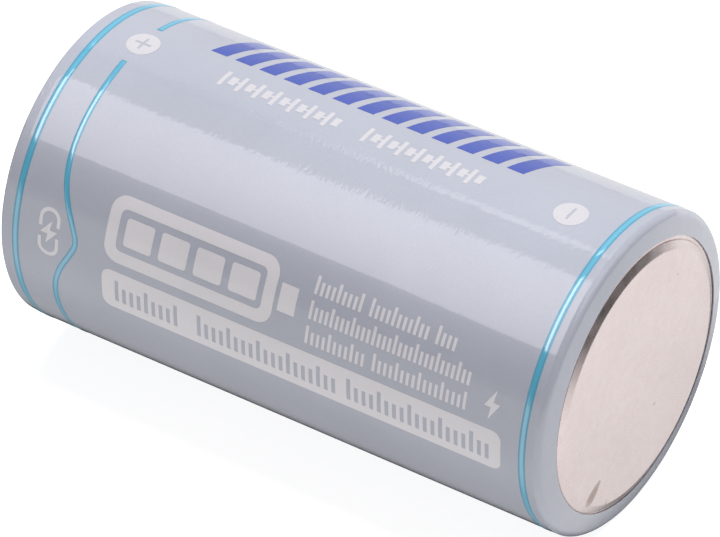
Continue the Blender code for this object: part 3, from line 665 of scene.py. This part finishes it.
def ink_layer(name, ink, solids, holes=()):
    """A thin printed layer: outlines on the unrolled film, filled and wrapped on the cell."""
    corners, kept = filled(solids, holes)
    bm = bmesh.new()
    tops = {}
    roots = {}
    for index in sorted({corner for triangle in kept for corner in triangle}):
        x, y = corners[index]
        turn = y / ROUND
        base = FILM_RADIUS + seam_lift(turn)
        tops[index] = bm.verts.new(on_cell(-x * MM, base + INK_HEIGHT, turn))
        roots[index] = bm.verts.new(on_cell(-x * MM, base - INK_ROOT, turn))
    for triangle in kept:
        bm.faces.new([tops[index] for index in triangle])
        bm.faces.new([roots[index] for index in reversed(triangle)])
    sides = {(a[i], a[(i + 1) % 3]) for a in kept for i in range(3)}
    for start, end in sides:
        if (end, start) not in sides:
            bm.faces.new((tops[start], roots[start], roots[end], tops[end]))
    round_normals(make_piece(name, bm, ink).data)


def ink_line(name, ink, path, width, rise_to, ring):
    """A raised printed line along a path on the unrolled film, closed if it is a ring."""
    half = width / 2
    profile = [(-half, -INK_ROOT), (-half, 0.3 * rise_to), (-0.86 * half, 0.62 * rise_to),
               (-0.68 * half, 0.88 * rise_to), (-0.45 * half, rise_to)]
    profile += [(-offset, rise) for offset, rise in reversed(profile)]
    last = len(path) - 1
    loops = []
    for index, (x, y) in enumerate(path):
        ahead = Vector(path[min(index + 1, last)]) - Vector(path[max(index - 1, 0)])
        along = Vector((0.0, 1.0)) if ring else ahead.normalized()
        loop = []
        for offset, rise in profile:
            turn = (y - along.x * offset) / ROUND
            radius = FILM_RADIUS + seam_lift(turn) + rise
            loop.append(on_cell(-(x + along.y * offset) * MM, radius, turn))
        loops.append(loop)
    make_piece(name, skinned(loops, ring), ink)


def ring_path(x):
    """A line straight round the cell."""
    return [(x, height(degrees)) for degrees in range(360)]


def swelling_path(inset):
    """The inner line: round the cell but for a gap, with a swell beside the charging sign."""
    base, swell, peak = -43.92, 2.27, 10.8
    start = 77.7 - inset
    length = 340.0 - 2 * inset
    path = []
    for step in range(341):
        degrees = start - length * step / 340
        spread = 15.6 if degrees > peak else 13.1
        rise = math.exp(-(abs(degrees - peak) / spread) ** 1.6)
        path.append((base + swell * rise, height(degrees)))
    return path


def scale_marks(left, right, low, tall, groups, thick=0.25):
    """Upright marks in groups, like the graduations of a scale."""
    marks = []
    total = sum(groups) + len(groups) - 1
    step = (right - left - thick) / max(total - 1, 1)
    place = 0
    for count in groups:
        for index in range(count):
            x = left + place * step
            high = low + (tall if index % 4 == 0 else tall * 0.72)
            marks.append(rectangle(x, x + thick, low, high))
            place += 1
        place += 1
    return marks


def battery_signs(left, right, middle, tall, count):
    """A row of circuit signs for a cell: a long thin plate and a short thick one."""
    pitch = (right - left) / count
    thin, thick, wire, overlap = 0.36, 0.58, 0.2, 0.02
    signs = []
    for index in range(count):
        x = left + pitch * index
        short = x + pitch * 0.44
        bars = [(x, x + thin, tall), (short, short + thick, tall * 0.54)]
        if index + 1 < count:
            bars.append((short + thick - overlap, x + pitch + overlap, wire))
        signs += [rectangle(start, end, middle - size / 2, middle + size / 2)
                  for start, end, size in bars]
    return signs


def make_lines():
    """Two rings and the inner line, each a dark edge under a raised bright core."""
    teal = film_finish("ink_teal", (0.060, 0.262, 0.385), contrast=0.02)
    foil = foil_line_finish("foil_cyan", (0.076, 0.365, 0.530))
    edge_height = 0.6 * LINE_HEIGHT
    for place, x in (("negative", -1.91), ("positive", -47.15)):
        ink_line(f"line_{place}_edge", teal, ring_path(x), 0.6, edge_height, True)
        ink_line(f"line_{place}_core", foil, ring_path(x), 0.34, LINE_HEIGHT, True)
    ink_line("line_swelling_edge", teal, swelling_path(0.0), 0.5, edge_height, False)
    ink_line("line_swelling_core", foil, swelling_path(0.6), 0.30, LINE_HEIGHT, False)


def make_bars():
    """Slanted blue bars in place of the large name."""
    blue = film_finish("ink_blue", (0.026, 0.057, 0.325))
    count, filled_share = 13, 0.66
    left, right, low, high = -39.2, -11.4, height(98.1), height(121.0)
    pitch = (right - left) / (count - 1 + filled_share)
    bars = [rectangle(left + pitch * index, left + pitch * (index + filled_share), low, high, 1.1)
            for index in range(count)]
    ink_layer("print_blue_bars", blue, bars)


def make_cell_signs(ink):
    """Two rows of circuit signs in place of the line under the large name."""
    low, high = height(83.1), height(91.0)
    signs = []
    for left, right in ((-36.4, -25.6), (-23.6, -13.0)):
        signs += battery_signs(left, right, (low + high) / 2, high - low, 7)
    ink_layer("print_cell_signs", ink, signs)


def make_battery_sign(ink):
    """A battery outline with four charge blocks in place of the port's name."""
    low, high, right, wall = height(10.4), height(34.3), -24.0, 1.0
    body = [rounded(PRINT_LEFT, right, low, high, 1.3)]
    opening = [rounded(PRINT_LEFT + wall, right - wall, low + wall, high - wall, 0.5)]
    ink_layer("print_battery_frame", ink, body, opening)
    middle = (low + high) / 2
    blocks = [rectangle(-23.6, -22.1, middle - 1.1, middle + 1.1)]
    gap = wall + 0.55
    for index in range(4):
        start = PRINT_LEFT + wall + 0.62 + 3.16 * index
        blocks.append(rounded(start, start + 2.5, low + gap, high - gap, 0.25))
    ink_layer("print_battery_charge", ink, blocks)


def make_scales(ink):
    """Rows of scale marks and a small bolt in place of the ratings."""
    marks = []
    for right, low, high, groups in ((-8.7, 27.8, 34.1, (9, 11, 4)), (-6.9, 19.0, 25.5, (31,)),
                                     (-6.9, 10.2, 16.6, (11, 17))):
        marks += scale_marks(-20.9, right, height(low), height(high) - height(low), groups)
    ink_layer("print_scale_marks", ink, marks)
    ink_layer("print_bolt", ink, [flash(-4.77, height(15.8), 1.3, 2.45)])


def make_long_panel(ink):
    """The long panel, with scale marks cut out of it in place of the model's name."""
    low, high = height(-8.6), height(6.9)
    start = (low + high) / 2 - 0.95
    marks = scale_marks(-37.9, -32.2, start, 1.9, (9,), 0.33)
    marks += scale_marks(-30.4, -4.7, start, 1.9, (19, 19), 0.33)
    ink_layer("print_panel", ink, [rounded(PRINT_LEFT, -3.7, low, high, 0.8)], marks)


def make_roundels(ink):
    """The plus and minus signs, each cut out of a disc."""
    arm, half, radius = 0.7, 0.1, 1.3
    x, y = -43.8, height(87.8)
    ink_layer("print_plus", ink, [disc(x, y, radius)], [cross(x, y, arm, half)])
    x, y = -5.88, height(88.0)
    minus = rectangle(x - half, x + half, y - arm, y + arm)
    ink_layer("print_minus", ink, [disc(x, y, radius)], [minus])


def make_charging_sign(ink):
    """A bolt that breaks the outline of an upright rounded frame."""
    x, y = -44.1, height(11.2)
    wide, tall, stroke = 1.9, 4.0, 0.3
    half_wide, half_tall = wide / 2, tall / 2
    outer = rounded(x - half_wide, x + half_wide, y - half_tall, y + half_tall, 0.9)
    inner = rounded(x - half_wide + stroke, x + half_wide - stroke,
                    y - half_tall + stroke, y + half_tall - stroke, 0.62)
    breaks = [rectangle(x - wide, x - 0.1, y - 0.55, y + 0.35),
              rectangle(x + 0.1, x + wide, y - 0.35, y + 0.55)]
    ink_layer("print_charging_frame", ink, [outer], [inner] + breaks)
    ink_layer("print_charging_bolt", ink, [flash(x, y, 1.55, 2.0)])


def make_artwork():
    """All the printing: lines, signs and the blocks that stand in for lettering."""
    white = film_finish("ink_white", (0.585, 0.560, 0.592), contrast=0.015)
    # Painted shade: a darker copy of the white ink for the signs along the top, where the light
    # falls brightest.
    white_shaded_for_top = film_finish("ink_white_shaded_for_top", (0.480, 0.470, 0.500), contrast=0.015)
    make_lines()
    make_bars()
    # The cell signs and the roundels along the top take the white ink with painted shade.
    make_cell_signs(white_shaded_for_top)
    make_battery_sign(white)
    make_scales(white)
    make_long_panel(white)
    make_roundels(white_shaded_for_top)
    make_charging_sign(white)


# ---- metal and cap

def make_can():
    """The drawn can: raised contact face, its fillet and crease, shoulder and rim."""
    inset = FILM_WALL + CAN_GAP
    outline = [(0.0, BOSS_FLAT_RADIUS * share) for share in (0.0, 0.3, 0.6, 0.85, 0.96)]
    edge = [(-0.06, 0.0), (0.0, 0.012), (0.06, 0.05)]
    edge += [(share, share) for share in (0.2, 0.4, 0.6, 0.8, 0.92, 1.0)]
    for across, drop in edge:
        radius = BOSS_FLAT_RADIUS + (BOSS_RADIUS - BOSS_FLAT_RADIUS) * across
        outline.append((BOSS_DROP * drop, radius))
    shoulder = negative_end(BOSS_RADIUS, inset)
    start = shoulder[0][0]
    for rise, out in ((0.05, 0.012), (0.05, 0.045), (0.004, 0.10)):
        outline.append((start + rise * MM, BOSS_RADIUS + out * MM))
    outline += shoulder[2:]
    far = positive_end(CRIMP_RADIUS, inset)
    first = shoulder[-1][0]
    last = far[-1][0]
    for step in range(21):
        station = first + (last - first) * (0.006 + 0.988 * step / 20)
        outline.append((station, FILM_RADIUS - inset))
    outline += far[::-1]
    rim = POSITIVE_EDGE - inset - CAN_WALL
    outline += [(rim, CRIMP_RADIUS), (rim, CAN_INSIDE - CAN_WALL), (rim - CAN_WALL, CAN_INSIDE),
                (CAN_FLOOR + CAN_WALL, CAN_INSIDE), (CAN_FLOOR, CAN_INSIDE - CAN_WALL),
                (CAN_FLOOR, BOSS_RADIUS - CAN_WALL), (BOSS_DROP + CAN_WALL, BOSS_RADIUS - CAN_WALL),
                (CAN_WALL, BOSS_FLAT_RADIUS - CAN_WALL), (CAN_WALL, 0.0)]
    nickel = nickel_finish("can_plate", (0.668, 0.578, 0.568), 0.27, 0.10 * MM, 0.0019 * MM, True)
    make_piece("can_shell", revolved(outline, ROUND_SEGMENTS), nickel,
               ["outer_can"])


def end_frame():
    """Matrix whose columns run across the port, out towards it and along the stations."""
    angle = math.atan2(PORT_CENTRE.z, -PORT_CENTRE.y)
    across = Vector((0.0, -math.sin(angle), -math.cos(angle)))
    outward = Vector((0.0, -math.cos(angle), math.sin(angle)))
    return Matrix((across, outward, Vector((-1.0, 0.0, 0.0)))).transposed()


END_FRAME = end_frame()
PORT_OFFSET = math.hypot(PORT_CENTRE.y, PORT_CENTRE.z)
PORT_PLACE = (0.0, PORT_OFFSET)


def slot_loop(width, tall, centre, station):
    """Points round a slot with round ends, at one station."""
    half = (width - tall) / 2
    points = []
    for side, start in ((1, -90), (-1, 90)):
        for step in range(13):
            angle = math.radians(start + 15 * step)
            points.append(END_FRAME @ Vector((centre[0] + side * half + tall / 2 * math.cos(angle),
                                              centre[1] + tall / 2 * math.sin(angle), station)))
    return points


def slot_loops(centre, sizes):
    """Loops of slots from (station, width, height)."""
    return [slot_loop(width, tall, centre, station) for station, width, tall in sizes]


def cut_hole(piece, width, tall, centre):
    """Cut a hole with a small flare at its mouth through the cap."""
    flare = 0.16 * MM
    sizes = [(station, width + 2 * grow, tall + 2 * grow) for station, grow in (
        (CAP_INSIDE - MM, 0.0), (CAP_FACE - flare, 0.0), (CAP_FACE - 0.4 * flare, 0.35 * flare),
        (CAP_FACE, flare), (CAP_FACE + MM, flare))]
    cutter = add_object("cutter", mesh_from("cutter", skinned(slot_loops(centre, sizes), False)))
    modifier = piece.modifiers.new("cut", "BOOLEAN")
    modifier.operation = "DIFFERENCE"
    modifier.solver = "EXACT"
    modifier.object = cutter
    with bpy.context.temp_override(object=piece, active_object=piece):
        bpy.ops.object.modifier_apply(modifier=modifier.name)
    bpy.data.objects.remove(cutter, do_unlink=True)
    piece.data.set_sharp_from_angle(angle=SHARP_ANGLE)


def make_cap():
    """The moulded cap with its contact seat, port window and light hole."""
    groove = CAP_FACE_RADIUS - 0.7 * MM
    outline = [
        (CONTACT_SEAT, POST_HOLE_RADIUS),
        (CONTACT_SEAT, CONTACT_SEAT_RADIUS),
        (CAP_FACE, CONTACT_SEAT_RADIUS),
        (CAP_FACE, groove - 0.2 * MM),
        (CAP_FACE - 0.1 * MM, groove - 0.1 * MM),
        (CAP_FACE - 0.1 * MM, groove + 0.1 * MM),
        (CAP_FACE, groove + 0.2 * MM),
        (CAP_FACE, CAP_FACE_RADIUS),
        (CAP_SHOULDER, CAP_FACE_RADIUS),
        (CAP_SHOULDER, CAP_SKIRT_RADIUS),
        (CAP_SKIRT_END, CAP_SKIRT_RADIUS),
        (CAP_SKIRT_END, CAP_BORE_RADIUS),
        (CAP_INSIDE, CAP_BORE_RADIUS),
        (CAP_INSIDE, POST_HOLE_RADIUS),
    ]
    plastic = moulded_finish("cap_plastic", (0.62, 0.63, 0.66))
    cap = make_piece("cap_moulding", revolved(filleted(outline, 0.13 * MM), CAP_SEGMENTS),
                     plastic, ["end_cap"])
    cut_hole(cap, PORT_WIDTH + 2 * WINDOW_MARGIN, PORT_HEIGHT + 2 * WINDOW_MARGIN, PORT_PLACE)
    pipe_place = END_FRAME.transposed() @ PIPE_CENTRE
    cut_hole(cap, 2 * PIPE_HOLE_RADIUS + 0.001 * MM, 2 * PIPE_HOLE_RADIUS, pipe_place.xy)


def make_contact():
    """The drawn nickel contact: nub with a rounded top and a flange with a soft foot."""
    outline = [
        (CONTACT_TOP, 0.0),
        (CONTACT_TOP, NUB_RADIUS),
        (CONTACT_BOTTOM + CONTACT_WALL, NUB_RADIUS + 0.02 * MM),
        (CONTACT_BOTTOM + CONTACT_WALL, FLANGE_RADIUS),
        (CONTACT_BOTTOM, FLANGE_RADIUS),
        (CONTACT_BOTTOM, NUB_RADIUS - CONTACT_WALL),
        (CONTACT_TOP - CONTACT_WALL, NUB_RADIUS - CONTACT_WALL),
        (CONTACT_TOP - CONTACT_WALL, 0.0),
    ]
    shaped = []
    for index, radius in enumerate((0.0, 0.5, 0.16, 0.1, 0.1, 0.06, 0.3, 0.0)):
        corner = [outline[index - 1], outline[index], outline[(index + 1) % len(outline)]]
        shaped += filleted(corner, radius * MM, 6, keep=(0, 2))[1:-1]
    nickel = nickel_finish("contact_plate", (0.78, 0.745, 0.72), 0.28, 0.10 * MM, 0.0012 * MM)
    make_piece("contact_nub", revolved(shaped, CONTACT_SEGMENTS), nickel,
               ["positive_contact"])


def make_port_shell():
    """The receptacle's drawn steel shell with its rolled lip."""
    section = [(PORT_MOUTH, 0.0), (PORT_BACK, 0.0), (PORT_BACK, PORT_WALL),
               (PORT_MOUTH, PORT_WALL)]
    sizes = [(station, PORT_WIDTH - 2 * inset, PORT_HEIGHT - 2 * inset)
             for station, inset in filleted(section, 0.13 * MM, 5, keep=(1, 2))]
    loops = [list(points) for points in zip(*slot_loops(PORT_PLACE, sizes))]
    steel = metal_finish("shell_steel", (0.66, 0.67, 0.69), 0.26, "X")
    make_piece("port_can", skinned(loops), steel, ["port_shell"])


def make_port_tongue():
    """The receptacle's plastic base and tongue."""
    margin = PORT_WALL + 0.15 * MM
    step = PORT_BACK + 1.2 * MM
    sizes = [(station, PORT_WIDTH - gap * margin, PORT_HEIGHT - gap * margin) for station, gap in (
        (PORT_BACK, 2), (step - 0.1 * MM, 2), (step, 2.2))]
    sizes += [(station, TONGUE_WIDTH - narrower * MM, TONGUE_THICKNESS - thinner * MM)
              for station, narrower, thinner in (
                  (step + 0.02 * MM, 0.0, 0.0), (TONGUE_TIP - 0.12 * MM, 0.0, 0.0),
                  (TONGUE_TIP - 0.03 * MM, 0.06, 0.1), (TONGUE_TIP, 0.2, 0.24))]
    black = moulded_finish("tongue_plastic", (0.028, 0.028, 0.032), 0.42, 0.08 * MM)
    make_piece("port_blade", skinned(slot_loops(PORT_PLACE, sizes), False), black,
               ["port_tongue"])


def make_port_pads():
    """Gold contact pads on both faces of the tongue."""
    rows, pitch = 12, 0.5 * MM
    size = Vector((0.27 * MM, 0.03 * MM, 2.4 * MM))
    bm = bmesh.new()
    for face in (-1, 1):
        for index in range(rows):
            across = (index - (rows - 1) / 2) * pitch
            out = PORT_OFFSET + face * TONGUE_THICKNESS / 2
            place = END_FRAME @ Vector((across, out, TONGUE_TIP - 1.6 * MM))
            pad = bmesh.ops.create_cube(bm, size=1.0)["verts"]
            bmesh.ops.scale(bm, vec=size, verts=pad)
            edges = list({edge for vertex in pad for edge in vertex.link_edges})
            bevelled = bmesh.ops.bevel(bm, geom=edges, offset=0.008 * MM, segments=1,
                                       profile=0.5, affect="EDGES")
            corners = list({vertex for shape in bevelled["faces"] for vertex in shape.verts})
            bmesh.ops.transform(bm, matrix=Matrix.Translation(place) @ END_FRAME.to_4x4(),
                                verts=corners)
    gold = metal_finish("pad_gold", (0.83, 0.62, 0.28), 0.25, "X")
    make_piece("port_pads", bm, gold)


def make_light_pipe():
    """The clear pipe with its domed end and a chamfer at its foot."""
    chamfer, dome = 0.1 * MM, 0.3 * MM
    outline = [(PIPE_BOTTOM, 0.0), (PIPE_BOTTOM, PIPE_RADIUS - chamfer),
               (PIPE_BOTTOM + chamfer, PIPE_RADIUS)]
    for step in range(11):
        angle = math.radians(90 - 9 * step)
        outline.append((CAP_FACE - dome + dome * math.cos(angle), PIPE_RADIUS * math.sin(angle)))
    bm = revolved(outline, PIPE_SEGMENTS)
    bmesh.ops.translate(bm, vec=(0.0, PIPE_CENTRE.y, PIPE_CENTRE.z), verts=bm.verts)
    clear = clear_finish("pipe_clear", (0.86, 0.92, 0.95))
    make_piece("pipe_lens", bm, clear, ["light_pipe"])


def paint_inner_pieces():
    """Finishes for the CAD pieces that stay as they are."""
    finishes = (
        (metal_finish("brass", (0.72, 0.50, 0.22), 0.3, "X"), ["contact_post"]),
        (board_finish("laminate", (0.012, 0.105, 0.045)), ["main_pcb"]),
        (speckled_finish("ferrite", (0.05, 0.05, 0.055), (0.16, 0.16, 0.17), 0.15 * MM, 0.6),
         ["converter_inductor"]),
        (speckled_finish("epoxy", (0.022, 0.022, 0.024), (0.06, 0.06, 0.06), 0.09 * MM),
         ["converter_chip", "charger_chip", "protection_mosfet"]),
        (speckled_finish("ceramic", (0.30, 0.19, 0.11), (0.42, 0.30, 0.2), 0.12 * MM),
         ["input_capacitor", "output_capacitor"]),
        (clear_finish("resin", (0.93, 0.90, 0.72)), ["status_lamp"]),
        (metal_finish("strip", (0.70, 0.68, 0.64), 0.32, "X"),
         ["ground_clip", "battery_negative_tab", "battery_positive_tab", "anode_tab"]),
        (metal_finish("aluminium", (0.80, 0.80, 0.81), 0.3, "Y"), ["cathode_tab", "vent_disc"]),
        (moulded_finish("holder", (0.05, 0.052, 0.058), 0.55), ["pcb_carrier", "cell_holder"]),
        (foam_finish("foam", (0.035, 0.035, 0.037)), ["foam_pad"]),
        (film_finish("inner_wrap", (0.02, 0.12, 0.42), 0.35), ["cell_wrap"]),
        (nickel_finish("inner_steel", (0.60, 0.59, 0.58), 0.34, 0.12 * MM, 0.0015 * MM),
         ["cell_can", "cell_top_cap", "centre_mandrel"]),
        (moulded_finish("gasket", (0.70, 0.71, 0.72), 0.5), ["cell_gasket"]),
        (foil_finish("foils", (0.03, 0.03, 0.033), (0.50, 0.33, 0.22)), ["jelly_roll"]),
        (moulded_finish("sheet", (0.55, 0.50, 0.36), 0.7, 0.3 * MM, 0.006 * MM),
         ["lower_insulator", "upper_insulator"]),
    )
    for finish, nodes in finishes:
        for node in nodes:
            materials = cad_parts[node].data.materials
            materials.clear()
            materials.append(finish)


# ---- studio

def make_camera():
    """The camera, looking down on the printed side and the negative end."""
    back = Vector((math.sin(CAMERA_AZIMUTH) * math.cos(CAMERA_ELEVATION),
                   -math.cos(CAMERA_AZIMUTH) * math.cos(CAMERA_ELEVATION),
                   math.sin(CAMERA_ELEVATION)))
    right = Vector((math.cos(CAMERA_AZIMUTH), math.sin(CAMERA_AZIMUTH), 0.0))
    up = back.cross(right)
    data = bpy.data.cameras.new("camera")
    data.lens = CAMERA_LENS
    data.sensor_width = 36.0
    data.clip_start = 0.01
    data.clip_end = 20.0
    camera = add_object("camera", data)
    camera.location = (CAMERA_TARGET + back * CAMERA_DISTANCE + right * CAMERA_NUDGE[0]
                       + up * CAMERA_NUDGE[1])
    camera.rotation_mode = "QUATERNION"
    camera.rotation_quaternion = (-back).to_track_quat("-Z", "Y")
    bpy.context.scene.camera = camera


def glowing(name, colour, strength, fade=None):
    """An emitting material for a studio panel; fade is an axis and where it starts and ends."""
    paint = Paint(name, Base_Color=(*BLACK, 1.0), Roughness=1.0,
                  Emission_Color=(*colour, 1.0), Emission_Strength=strength)
    if fade is not None:
        paint.join(paint.soft_step(*fade, strength, 0.0), "Emission Strength")
    return paint.material


def make_panel(name, corners, material):
    """A flat studio panel with the corners given in order."""
    mesh = bpy.data.meshes.new(name)
    mesh.from_pydata(corners, [], [tuple(range(len(corners)))])
    mesh.materials.append(material)
    panel = add_object(name, mesh)
    return panel


def make_mirrored_panel(name, corners, material):
    """A studio panel that only shows as a reflection in glossy surfaces."""
    panel = make_panel(name, corners, material)
    panel.visible_diffuse = False
    panel.visible_camera = False
    panel.visible_shadow = False


def level_square(reach, level):
    """Corners of a level square about the origin."""
    return [(x, y, level) for x, y in rectangle(-reach, reach, -reach, reach)]


def make_card(name, glow, outline, facing):
    """A flat card round the cell; its outline is in distance along and elevation from the front."""
    corners = []
    for x, elevation in outline:
        angle = math.radians(elevation)
        away = CARD_DISTANCE / math.cos(angle - math.radians(facing))
        corners.append((x, -math.cos(angle) * away, math.sin(angle) * away))
    make_mirrored_panel(name, corners, glow)


def make_cards():
    """The studio cards that the gloss mirrors: two lights, and dimmer and black ones."""
    softbox = ((-0.400, 38.1), (-0.280, 37.7), (-0.256, 35.9), (-0.075, 35.9),
               (-0.075, 89.8), (-0.266, 89.8), (-0.306, 85.0), (-0.400, 84.8))
    make_card("softbox", glowing("softbox_glow", (1.0, 0.972, 1.0), 2.95), softbox, 62.0)
    strip_glow = glowing("strip_glow", WHITE, 2.1, ("X", -0.258, -0.286))
    make_card("strip_light", strip_glow, rectangle(-0.290, 0.1, 108.7, 113.5), 111.0)
    rear_glow = glowing("rear_glow", WHITE, 0.52, ("Y", 0.242, 0.165))
    make_card("rear_card", rear_glow, rectangle(-0.9, 0.6, 107.0, 178.0), 132.0)
    side = [(0.5, y, z) for y, z in rectangle(-0.12, 0.7, 0.2, 0.8)]
    make_mirrored_panel("side_card", side, glowing("side_glow", (0.97, 0.98, 1.0), 1.5))
    black = glowing("dark_card_black", BLACK, 0.0)
    make_card("dark_card", black, rectangle(-0.9, 0.6, 4.0, 35.0), 20.0)
    back = [(-1.6, 1.0, 0.6), (0.9, 1.0, 0.6), (0.9, 1.2, 0.0), (-1.6, 1.2, 0.0)]
    make_mirrored_panel("backdrop", back, glowing("backdrop_glow", (0.98, 0.99, 1.0), 0.5))


def make_floor_reflection():
    """What the gloss sees of the floor: pale in front, a painted shadow under the cell, and dark far
    off.
    """
    paint = Paint("floor_glow", Base_Color=(*BLACK, 1.0), Roughness=1.0,
                  Emission_Color=(*WHITE, 1.0), Specular_IOR_Level=0.0)
    sum_up, step = paint.sum_up, paint.soft_step
    # Painted shadow: the glow drops to nothing under the cell, where the floor would lie in its
    # shadow.
    in_front = sum_up("ADD", step("Y", -6.2 * MM, -9.3 * MM, 0.0, 0.36),
                      step("Y", -13.0 * MM, -22.0 * MM, 0.0, 0.64))
    either = sum_up("MULTIPLY", sum_up("MAXIMUM", in_front, step("Y", 12.0 * MM, 30.0 * MM)), 0.78)
    beside = sum_up("ADD", step("X", -1.0 * MM, 1.5 * MM, 0.0, 0.94),
                    step("X", 0.0, 20.0 * MM, 0.0, 0.19))
    near = step("X", 95.0 * MM, 35.0 * MM, 0.0, FLOOR_SHEEN)
    light = sum_up("MULTIPLY", sum_up("MAXIMUM", either, beside), near)
    paint.join(light, "Emission Strength")
    corners = level_square(0.6, -BODY_RADIUS + 0.01 * MM)
    make_mirrored_panel("floor_sheen", corners, paint.material)


def make_area_light(name, place, power):
    """A soft area light that faces the cell and isn't mirrored."""
    data = bpy.data.lights.new(name, "AREA")
    data.shape = "SQUARE"
    data.size = 0.9
    data.energy = power
    light = add_object(name, data)
    light.location = place
    light.rotation_mode = "QUATERNION"
    light.rotation_quaternion = (CAMERA_TARGET - Vector(place)).to_track_quat("-Z", "Y")
    light.visible_glossy = False


def make_floor():
    """A plain pale floor under the cell."""
    paint = Paint("floor", Roughness=0.9, Emission_Color=(*WHITE, 1.0), Emission_Strength=0.84)
    paint.colour(paint.between(paint.noise(0.25), 0.33, 0.35))
    make_panel("floor", level_square(3.0, -BODY_RADIUS), paint.material).visible_glossy = False


def make_studio():
    """Pale floor, mirrored cards, two soft lights and even room light."""
    make_floor()
    make_floor_reflection()
    make_cards()
    make_area_light("overhead", (-0.02, 0.30, 1.0), 19.0)
    make_area_light("front_fill", (-0.02, -1.0, 0.22), 1.1)
    world = bpy.data.worlds.new("room")
    world.use_nodes = True
    background = world.node_tree.nodes["Background"]
    background.inputs["Color"].default_value = (*WHITE, 1.0)
    background.inputs["Strength"].default_value = 0.31
    bpy.context.scene.world = world
    bpy.context.scene.view_settings.view_transform = "Standard"
    bpy.context.scene.view_settings.look = "None"


make_camera()
make_studio()
make_film()
make_artwork()
make_can()
make_cap()
make_contact()
make_port_shell()
make_port_tongue()
make_port_pads()
make_light_pipe()
paint_inner_pieces()
